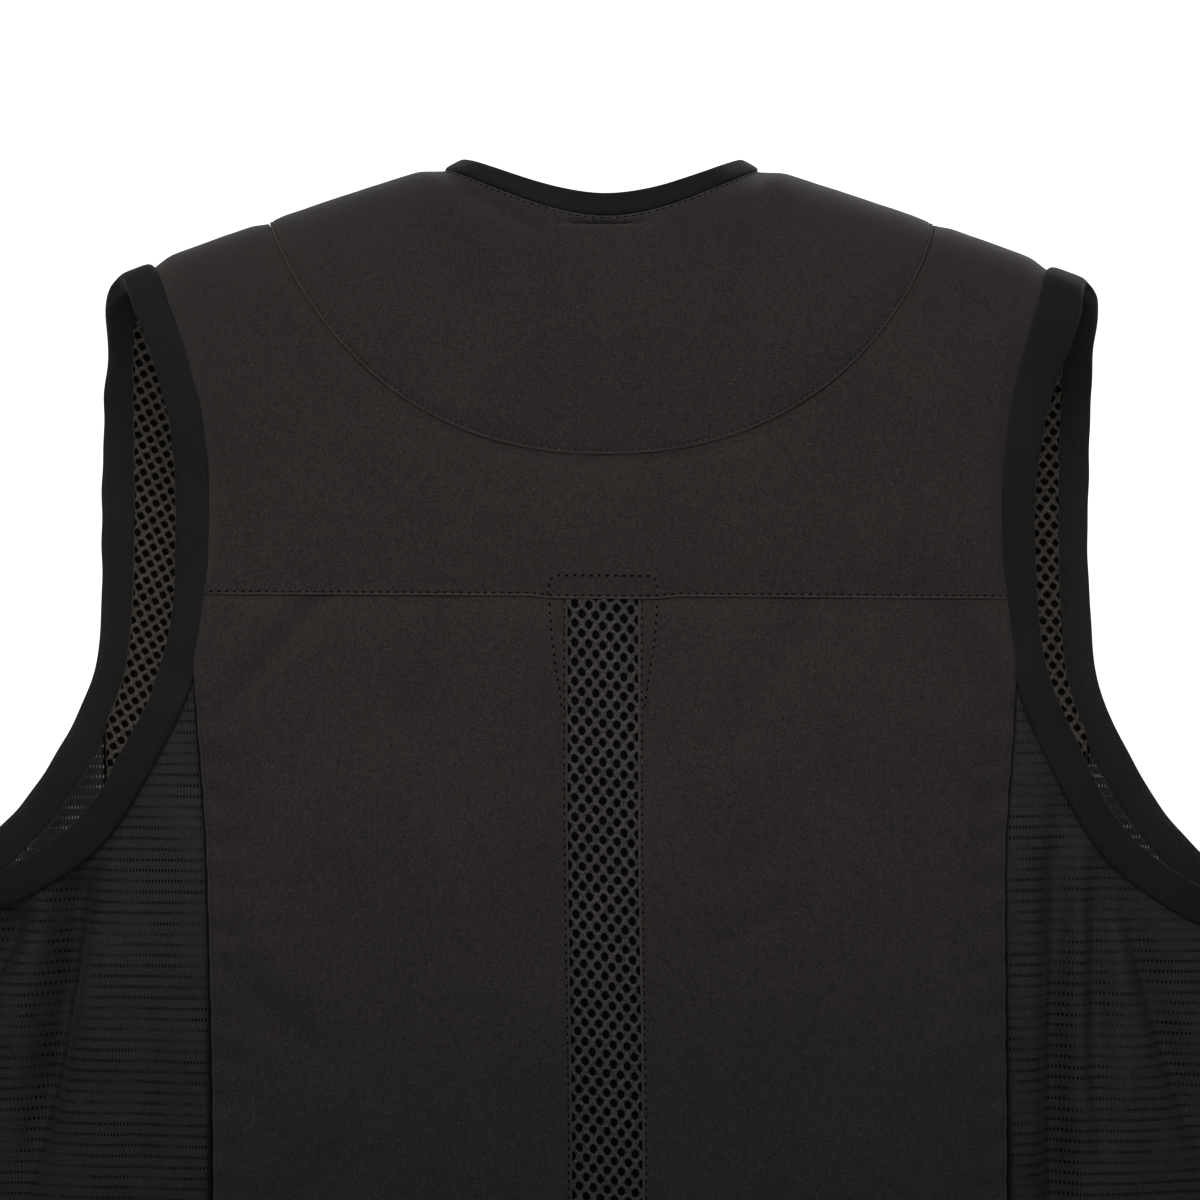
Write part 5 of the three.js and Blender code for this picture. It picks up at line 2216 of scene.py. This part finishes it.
@dataclass
class SideMeshes:
    """The thin net between back and front panel, draped in its own folds on each side."""

    pattern: Pattern
    columns: int = 116
    rows: int = 84
    thick: float = 0.9
    sink: float = 0.8
    roll: float = 0.5
    tuck: float = 1.6
    tuck_reach: float = 5.0
    closeness: float = 0.5
    sway_reach: float = 25.0
    fold_reach: float = 10.0
    # Reach from the seams of the painted shade along them, where the net dips under the panels.
    groove: tuple[float, float] = (2.8, 4.4)
    right_folds: tuple[Fold, ...] = (
        Fold(188, 184, 240, 500, 14, 7),
        Fold(205, 203, 255, 420, 10, 6),
        Fold(209, 252, 275, 420, 11, 7),
    )
    left_folds: tuple[Fold, ...] = (
        Fold(211, 245, 255, 440, 19, 8),
        Fold(230, 268, 275, 365, 13, 7),
        Fold(190, 198, 300, 520, 3, 10),
    )
    drape: Ripple = Ripple(1.0, 22, 80, seed=21)

    def level_chart(self, spots: Spots, points: Array) -> Array:
        """Flat places whose rows are level: the arc round the torso at the underarm, and the height.

        Args:
            spots: places of the net.
            points: its points.

        Returns:
            The flat places.
        """
        form = self.pattern.form
        angles = np.linspace(-QUARTER_TURN, QUARTER_TURN, self.pattern.search_steps)
        around = form.spot_at_angle(angles, np.full_like(angles, form.underarm_drop))
        arc = run_lengths(form.point(around), 0)
        return np.stack([np.interp(spots.angle, angles, arc), points[..., 2]], axis=-1)

    def depth(self, folds: Sequence[Fold], spots: Spots) -> Array:
        """Depth of the folds on the back: a bell across each valley that fades towards both its ends.

        Args:
            folds: the folds.
            spots: places of the net.

        Returns:
            The depth at each place.
        """
        drop, half = self.pattern.form.drop(spots), self.pattern.form.half(spots)
        total = np.zeros_like(drop)
        for fold in folds:
            s = np.clip((drop - fold.top_drop) / (fold.low_drop - fold.top_drop), 0, 1)
            off = half - lerp(fold.top_half, fold.low_half, s)
            total = total + fold.depth * np.sin(s * math.pi) * bell(off, fold.width)
        return np.where(spots.angle > 0, total, 0)

    def build(self, wardrobe: Wardrobe) -> None:
        """Makes both nets as sheets that hang between the panels.

        Args:
            wardrobe: the finishes and the stitch rows.
        """
        even, vs = np.linspace(0, 1, self.columns + 1), np.linspace(0, 1, self.rows + 1)
        us = lerp(even, 0.5 - 0.5 * np.cos(math.pi * even), self.closeness)
        for side, folds in ((Side.RIGHT, self.right_folds), (Side.LEFT, self.left_folds)):
            spots = self.pattern.side_patch()(us, vs)
            cloth = Cloth.cut(self.pattern.form, side.patch(self.pattern.side_patch()), us, vs)
            chart = self.level_chart(spots, cloth.points)
            rim = np.minimum.reduce([cloth.distance(edge) for edge in Edge])
            sway = self.drape.at(cloth.points) * smooth(rim, 0, self.sway_reach)
            tuck = self.tuck * np.sin(math.pi * np.clip(rim / self.tuck_reach, 0, 1))
            middle = sway - self.sink - tuck - self.depth(folds, spots) * smooth(rim, 0, self.fold_reach)
            half = self.thick / 2 * quarter_round(rim, self.roll)
            outer = cloth.points + cloth.normals * (middle + half)[..., None]
            inner = cloth.points + cloth.normals * (middle - half)[..., None]
            name = f"side_mesh_{side.value}"
            # Painted shade along both seams, held as the shade mark.
            beside = np.minimum(cloth.distance(Edge.LEFT), cloth.distance(Edge.RIGHT))
            shade = 1 - smooth(beside, *self.groove)
            marks = {"open": (spots.angle < 0).astype(float), "shade": shade}
            made = cloth.shell(name, outer, inner, chart, marks).make(wardrobe.net, "side_mesh", [name])
            cells = np.cross(np.diff(cloth.points[:-1], axis=1), np.diff(cloth.points[:, :-1], axis=0))


@dataclass
class FrontAssembly:
    """The two front panels and the spacer mesh that lines them."""

    pattern: Pattern
    thick: float = 8.0
    width: float = 200.0
    length: float = 520.0
    step: float = 5.0
    lining_gap: float = 0.4
    lining_pinch: float = 2.7
    pinch_reach: float = 14.0
    outline_steps: int = 400
    # Strength of the painted highlight along the folded edges.
    edge_highlight: float = 0.35
    zip_stitch: float = 2.0
    shoulder_stitch: float = 1.6
    ripple: Ripple = Ripple(0.5, 50, 180, seed=5)
    edges: tuple[tuple[Edge, EdgeFinish], ...] = (
        (Edge.TOP, SEWN_FLAT),
        (Edge.BOTTOM, BOUND),
        (Edge.LEFT, BOUND),
        (Edge.RIGHT, BOUND),
    )
    right_lattice: Lattice = Lattice(5.4, 3.7, (1.25, 1.6), 1, 2.4, 0.05, 0.085, LINING_RINGS)
    left_lattice: Lattice = Lattice(4.86, 3.66, (1.2, 1.65), 1, 2.4, -0.368, 0.194, LINING_RINGS)

    def build(self, wardrobe: Wardrobe) -> None:
        """Makes the panels and their linings.

        Args:
            wardrobe: the finishes and the stitch rows.
        """
        us, vs = spaced(self.width, self.step), spaced(self.length, self.step)
        for side in Side:
            panel = PaddedPanel(
                f"front_panel_{side.value}",
                Cloth.cut(self.pattern.form, side.patch(self.pattern.front_patch()), us, vs),
                Padding(self.thick, self.edges),
                ((Edge.LEFT, self.edge_highlight), (Edge.TOP, self.edge_highlight)),
                (self.ripple,),
            )
            panel.make(wardrobe)
            panel.stitch(wardrobe.seams, Edge.LEFT, self.zip_stitch)
            panel.stitch(wardrobe.seams, Edge.TOP, self.shoulder_stitch)
            self.line(side, wardrobe)

    def line(self, side: Side, wardrobe: Wardrobe) -> None:
        """Makes a panel's lining: its holes open to the inside of the vest.

        Args:
            side: which panel.
            wardrobe: the finishes and the stitch rows.
        """
        form, pattern = self.pattern.form, self.pattern
        lattice = self.right_lattice if side is Side.RIGHT else self.left_lattice
        shares = np.linspace(0, 1, self.outline_steps)
        inner, outer = pattern.front_inner(shares), pattern.front_outer(shares)
        inner_drop, inner_half = form.drop(inner), form.half(inner)
        outer_drop, outer_half = form.drop(outer), form.half(outer)

        def limits(drop: Array) -> tuple[Array, Array]:
            """Half widths between which the lining lies at a drop."""
            return np.interp(drop, inner_drop, inner_half), np.interp(drop, outer_drop, outer_half)

        def clamp(flat: Array) -> Array:
            """Flat points moved into the lining's outline.

            Args:
                flat: half widths and drops.

            Returns:
                The points, moved.
            """
            drop = np.minimum(flat[..., 1], pattern.hem_line_drop)
            low, high = limits(drop)
            x = np.clip(flat[..., 0], low, high)
            top = form.ridge_drop(x) + pattern.shoulder_fall + pattern.gap
            return np.stack([x, np.maximum(drop, top)], axis=-1)

        def place(x: Array, drop: Array, depth: Array) -> Array:
            """Points on the inside of the front, at a depth behind the lining's face.

            Args:
                x: half widths.
                drop: drops.
                depth: depths.

            Returns:
                The points in space.
            """
            low, high = limits(drop)
            edge = np.minimum(x - low, high - x)
            face = self.thick / 2 - self.lining_pinch * (1 - smooth(edge, 0, self.pinch_reach))
            spots = side.place(form.spot(x, drop, -1))
            reach = face + self.lining_gap + lattice.thick - depth
            return form.point(spots) - form.normal(spots) * reach[:, None]

        low = (float(inner_half.min()), float(min(inner_drop.min(), outer_drop.min())))
        high = (float(outer_half.max()), pattern.hem_line_drop)
        name = f"front_lining_{side.value}"
        made = lattice.piece(name, low, high, clamp, place).make(wardrobe.lining, "spacer_mesh", [name])


class Bulge(NamedTuple):
    """A place where a binding's free edge stands out: its share of the edge, how far, and its reach."""

    share: float
    out: float
    reach: float

    def at(self, share: Array) -> Array:
        """How far the free edge stands out at shares of a closed edge."""
        return self.out * bell((share - self.share + 0.5) % 1 - 0.5, self.reach)


@dataclass
class Bindings:
    """The folded elastic bindings of the neck, the armholes and the hem."""

    pattern: Pattern
    width: float = 12.0
    overlap: float = 2.4
    thick: float = 4.6
    tip: Bulge = Bulge(0.0, 0.8, 0.05)
    right_bulges: tuple[Bulge, ...] = (Bulge(0.07, 4.6, 0.06), Bulge(0.972, 3.6, 0.028))
    left_bulges: tuple[Bulge, ...] = (
        Bulge(0.98, 1.2, 0.015),
        Bulge(0.928, -2.4, 0.022),
        Bulge(0.84, 1.4, 0.03),
    )
    section: int = 22
    squareness: float = 0.42
    neck_steps: int = 260
    armhole_steps: int = 420
    hem_steps: int = 420
    gather: float = 0.1
    waver: float = 0.02
    waves: int = 10
    wave_lengths: tuple[float, float] = (16, 80)

    def strip(
        self,
        name: str,
        spots_of: Callable[[Array, Array], Spots],
        positions: Array,
        ring: bool,
        bulk: Array | float = 1.0,
    ) -> Piece:
        """A binding along its edge.

        Args:
            name: its name, which is its CAD node's.
            spots_of: places at positions along the edge and shares of the width from the free edge.
            positions: positions of its sections.
            ring: whether it closes on itself.
            bulk: thickness of the sections as a share of the usual one.

        Returns:
            The piece, carried through flattened superellipses with slight gathers and a slightly wavy
            free edge, joined into a ring or closed by a face at both ends.
        """
        turns = np.arange(self.section) * 2 * math.pi / self.section
        squared = lambda value: np.sign(value) * np.abs(value) ** self.squareness
        across = np.broadcast_to(0.5 - 0.5 * squared(np.cos(turns)), (len(positions), self.section))
        rise = np.broadcast_to(squared(np.sin(turns)) * self.thick / 2, across.shape)
        along = np.broadcast_to(positions[:, None], across.shape)
        middle = self.pattern.form.point(spots_of(positions, np.full_like(positions, 0.5)))
        run = run_lengths(middle, 0)
        length = run[-1] + (float(np.linalg.norm(middle[0] - middle[-1])) if ring else 0.0)
        chance = np.random.default_rng(len(name))
        waves = np.round(length / chance.uniform(*self.wave_lengths, self.waves))
        shifts = chance.uniform(0, 2 * math.pi, self.waves)
        phases = 2 * math.pi * run[:, None] / length * waves + shifts
        uneven = np.sin(phases).sum(axis=1) / math.sqrt(self.waves)
        rise = rise * ((1 + self.gather * uneven) * bulk)[:, None]
        spots = spots_of(along, across + self.waver * (1 - across) * uneven[:, None])
        points = self.pattern.form.point(spots) + self.pattern.form.normal(spots) * rise[..., None]
        chart = np.stack([np.broadcast_to(run[:, None], across.shape), across * self.width], axis=-1)
        index = np.arange(across.size).reshape(across.shape)
        around = np.concatenate([index, index[:, :1]], axis=1)
        caps = [] if ring else [np.stack([index[0][::-1], index[-1]])]
        walls = grid_faces(np.concatenate([around, around[:1]]) if ring else around)
        # Marks the inner half of each section, which the tape's finish paints paler as painted light.
        inside = (rise < 0).astype(float).ravel()
        return Piece(name, points.reshape(-1, 3), [walls, *caps], chart.reshape(-1, 2), {"inside": inside})

    def neck_spots(self, step: Array, across: Array) -> Spots:
        """Places on the neck binding; beyond the front shoulder seams it runs on to the zip.

        Args:
            step: yoke steps from -2 to 4.
            across: shares of the width.

        Returns:
            Their places.
        """
        inward = lerp(1, self.pattern.gap / self.width, across)

        def right(part: Array) -> Spots:
            """The right half of the neck."""
            start = self.pattern.neck_turn(np.array(-1.0))
            front = lerp(start, -self.pattern.zip_turn(inward), np.clip(-1 - part, 0, 1))
            return self.pattern.form.neck(np.where(part < -1, front, self.pattern.neck_turn(part)), inward)

        return self.pattern.whole(right, step)

    def hem_spots(self, share: Array, across: Array) -> Spots:
        """Places on the hem binding, from one side of the zip round the back to the other.

        Args:
            share: shares of the hem.
            across: shares of the width.

        Returns:
            Their places.
        """
        form = self.pattern.form
        drop = lerp(form.hem_drop, form.hem_drop - self.width, across)
        opening = np.arcsin((self.pattern.zip_half + self.pattern.gap) / form.half_width(drop))
        return form.spot_at_angle(lerp(opening - QUARTER_TURN, math.pi + QUARTER_TURN - opening, share), drop)

    def build(self, wardrobe: Wardrobe) -> None:
        """Makes the four bindings.

        Args:
            wardrobe: the finishes and the stitch rows.
        """
        form = self.pattern.form
        steps = np.linspace(-2, 4, self.neck_steps + 1)
        pieces = [self.strip("neck_binding", self.neck_spots, steps, False)]
        shares = np.linspace(0, 1, self.armhole_steps + 1)[:-1]
        for side, bulges in ((Side.RIGHT, self.right_bulges), (Side.LEFT, self.left_bulges)):

            def spots_of(share: Array, across: Array) -> Spots:
                """Places on an armhole's binding, which laps over the panels at its seam."""
                out = sum(bulge.at(share) for bulge in bulges)
                return side.place(form.armhole(share, lerp(-out, self.width + self.overlap, across)))

            name = f"armhole_binding_{side.value}"
            pieces.append(self.strip(name, spots_of, shares, True, 1 + self.tip.at(shares)))
        shares = np.linspace(0, 1, self.hem_steps + 1)
        pieces.append(self.strip("hem_binding", self.hem_spots, shares, False))
        for piece in pieces:
            piece.make(wardrobe.tape, "elastic_binding", [piece.name])


@dataclass
class FrontZip:
    """The front zip, out of the photograph's sight: one plain strip with a raised coil down its middle."""

    pattern: Pattern
    thick: float = 1.6
    roll: float = 0.8
    coil_half: float = 2.6
    coil_rise: float = 1.2
    columns: int = 30
    rows: int = 150

    def build(self) -> None:
        """Makes the strip."""
        form = self.pattern.form
        half = self.pattern.zip_half - self.pattern.gap / 2

        def patch(us: Array, vs: Array) -> Spots:
            """Places on the middle of the front."""
            x, drop = np.meshgrid(lerp(-half, half, us), lerp(form.throat_edge_drop, form.hem_drop, vs))
            return form.spot(x, drop, -1)

        cloth = Cloth.cut(form, patch, np.linspace(0, 1, self.columns + 1), np.linspace(0, 1, self.rows + 1))
        rim = quarter_round(np.minimum.reduce([cloth.distance(edge) for edge in Edge]), self.roll)
        coil = self.coil_rise * (1 - smooth(np.abs(cloth.points[..., 0]), self.coil_half / 2, self.coil_half))
        outer = cloth.points + cloth.normals * ((self.thick / 2 + coil) * rim)[..., None]
        inner = cloth.points - cloth.normals * (self.thick / 2 * rim)[..., None]
        piece = cloth.shell("front_zip", outer, inner, cloth.chart, {})
        piece.make(ZipTape().paint(), "zip_tape", [piece.name])


# The studio


class Lamp(NamedTuple):
    """A soft box: its place, aim, width and height in metres, its spread in degrees, its power and colour."""

    name: str
    place: Point
    aim: Point
    wide: float
    tall: float
    spread: float
    power: float
    colour: Colour


@dataclass
class Studio:
    """Pale floor, white backdrop, soft boxes and the camera behind the vest."""

    floor_drop: float = 0.64
    floor_half: float = 2.4
    floor_colour: Colour = (0.7, 0.7, 0.7)
    backdrop_behind: float = 7.0
    backdrop_half: float = 5.0
    backdrop_colour: Colour = (0.9, 0.9, 0.9)
    backdrop_glow: float = 1.1
    stain: float = 0.97
    stain_scale: float = 3.0
    roughness: float = 0.9
    ambient: float = 0.19
    ambient_colour: Colour = (0.84, 0.93, 1.0)
    camera_distance: float = 2.2
    camera_azimuth: float = -1.8
    camera_level: float = -0.179
    lens: float = 156.96
    shift: float = -0.00125
    lamps: tuple[Lamp, ...] = (
        Lamp("key", (-0.1, -1.3, 0.15), (0.0, -0.05, -0.18), 1.8, 0.3, 26, 0.88, (1.0, 0.97, 0.94)),
        Lamp("left", (-0.62, -1.7, 0.25), (0.0, -0.05, -0.05), 1.0, 1.0, 70, 0.65, (0.99, 0.99, 1.0)),
        Lamp("right", (0.62, -1.7, 0.25), (0.0, -0.05, -0.05), 1.0, 1.0, 70, 0.45, (0.99, 0.99, 1.0)),
        Lamp("top", (-0.2, -0.35, 1.1), (0.0, 0.0, -0.05), 0.8, 0.8, 120, 2.3, (1.0, 0.97, 0.94)),
        Lamp("front", (0.7, 1.9, 0.7), (0.0, 0.05, -0.25), 1.2, 1.2, 180, 12.0, (1.0, 0.98, 0.96)),
    )

    def plane(self, name: str, corners: Sequence[Point], colour: Colour, glow: float) -> None:
        """A flat sheet of the studio.

        Args:
            name: its name.
            corners: its four corners.
            colour: its colour where it is cleanest.
            glow: strength of its own light.
        """
        mesh = bpy.data.meshes.new(name)
        mesh.from_pydata(corners, [], [(0, 1, 2, 3)])
        paint = Paint(name)
        stained = tuple(self.stain * part for part in colour)
        tone = paint.mix(paint.noise(self.stain_scale, 2), colour, stained)
        paint.set(Base_Color=tone, Roughness=self.roughness)
        paint.set(Emission_Color=(1.0, 1.0, 1.0), Emission_Strength=glow)
        mesh.materials.append(paint.material)
        made = bpy.data.objects.new(name, mesh)
        bpy.context.scene.collection.objects.link(made)

    def light(self, lamp: Lamp) -> None:
        """A soft box that faces its aim.

        Args:
            lamp: its sizes.
        """
        data = bpy.data.lights.new(lamp.name, "AREA")
        data.shape = "RECTANGLE"
        data.size = lamp.wide
        data.size_y = lamp.tall
        data.spread = math.radians(lamp.spread)
        data.energy = lamp.power
        data.color = lamp.colour
        made = bpy.data.objects.new(lamp.name, data)
        way = np.array(lamp.aim) - np.array(lamp.place)
        flat = math.hypot(way[0], way[1])
        made.location = lamp.place
        made.rotation_euler = (math.atan2(flat, -way[2]), 0.0, math.atan2(-way[0], way[1]))
        bpy.context.scene.collection.objects.link(made)

    def build(self) -> None:
        """Makes the whole studio and sets the camera."""
        square = ((-1, -1), (1, -1), (1, 1), (-1, 1))
        level = [(x * self.floor_half, y * self.floor_half, -self.floor_drop) for x, y in square]
        self.plane("floor", level, self.floor_colour, 0.0)
        upright = [(x * self.backdrop_half, self.backdrop_behind, z * self.backdrop_half) for x, z in square]
        self.plane("backdrop", upright, self.backdrop_colour, self.backdrop_glow)
        for lamp in self.lamps:
            self.light(lamp)
        scene = bpy.context.scene
        scene.view_settings.view_transform = "Standard"
        scene.world = bpy.data.worlds.new("studio")
        scene.world.use_nodes = True
        sky = scene.world.node_tree.nodes["Background"].inputs
        sky["Color"].default_value = (*self.ambient_colour, 1.0)
        sky["Strength"].default_value = self.ambient
        data = bpy.data.cameras.new("camera")
        data.lens = self.lens
        data.shift_x = self.shift
        camera = bpy.data.objects.new("camera", data)
        turn = math.radians(self.camera_azimuth)
        away = self.camera_distance
        camera.location = (away * math.sin(turn), -away * math.cos(turn), self.camera_level)
        camera.rotation_euler = (QUARTER_TURN, 0.0, turn)
        scene.collection.objects.link(camera)
        scene.camera = camera


def main() -> None:
    """Builds the vest and its studio."""
    logging.basicConfig(level=logging.INFO, format="%(name)s %(message)s")
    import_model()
    pattern = Pattern()
    wardrobe = Wardrobe.stocked()
    Studio().build()
    YokeAssembly(pattern).build(wardrobe)
    BackAssembly(pattern).build(wardrobe)
    SpineStrip(pattern).build(wardrobe)
    SideMeshes(pattern).build(wardrobe)
    FrontAssembly(pattern).build(wardrobe)
    Bindings(pattern).build(wardrobe)
    FrontZip(pattern).build()
    wardrobe.sew_all()


if __name__ == "__main__":
    main()
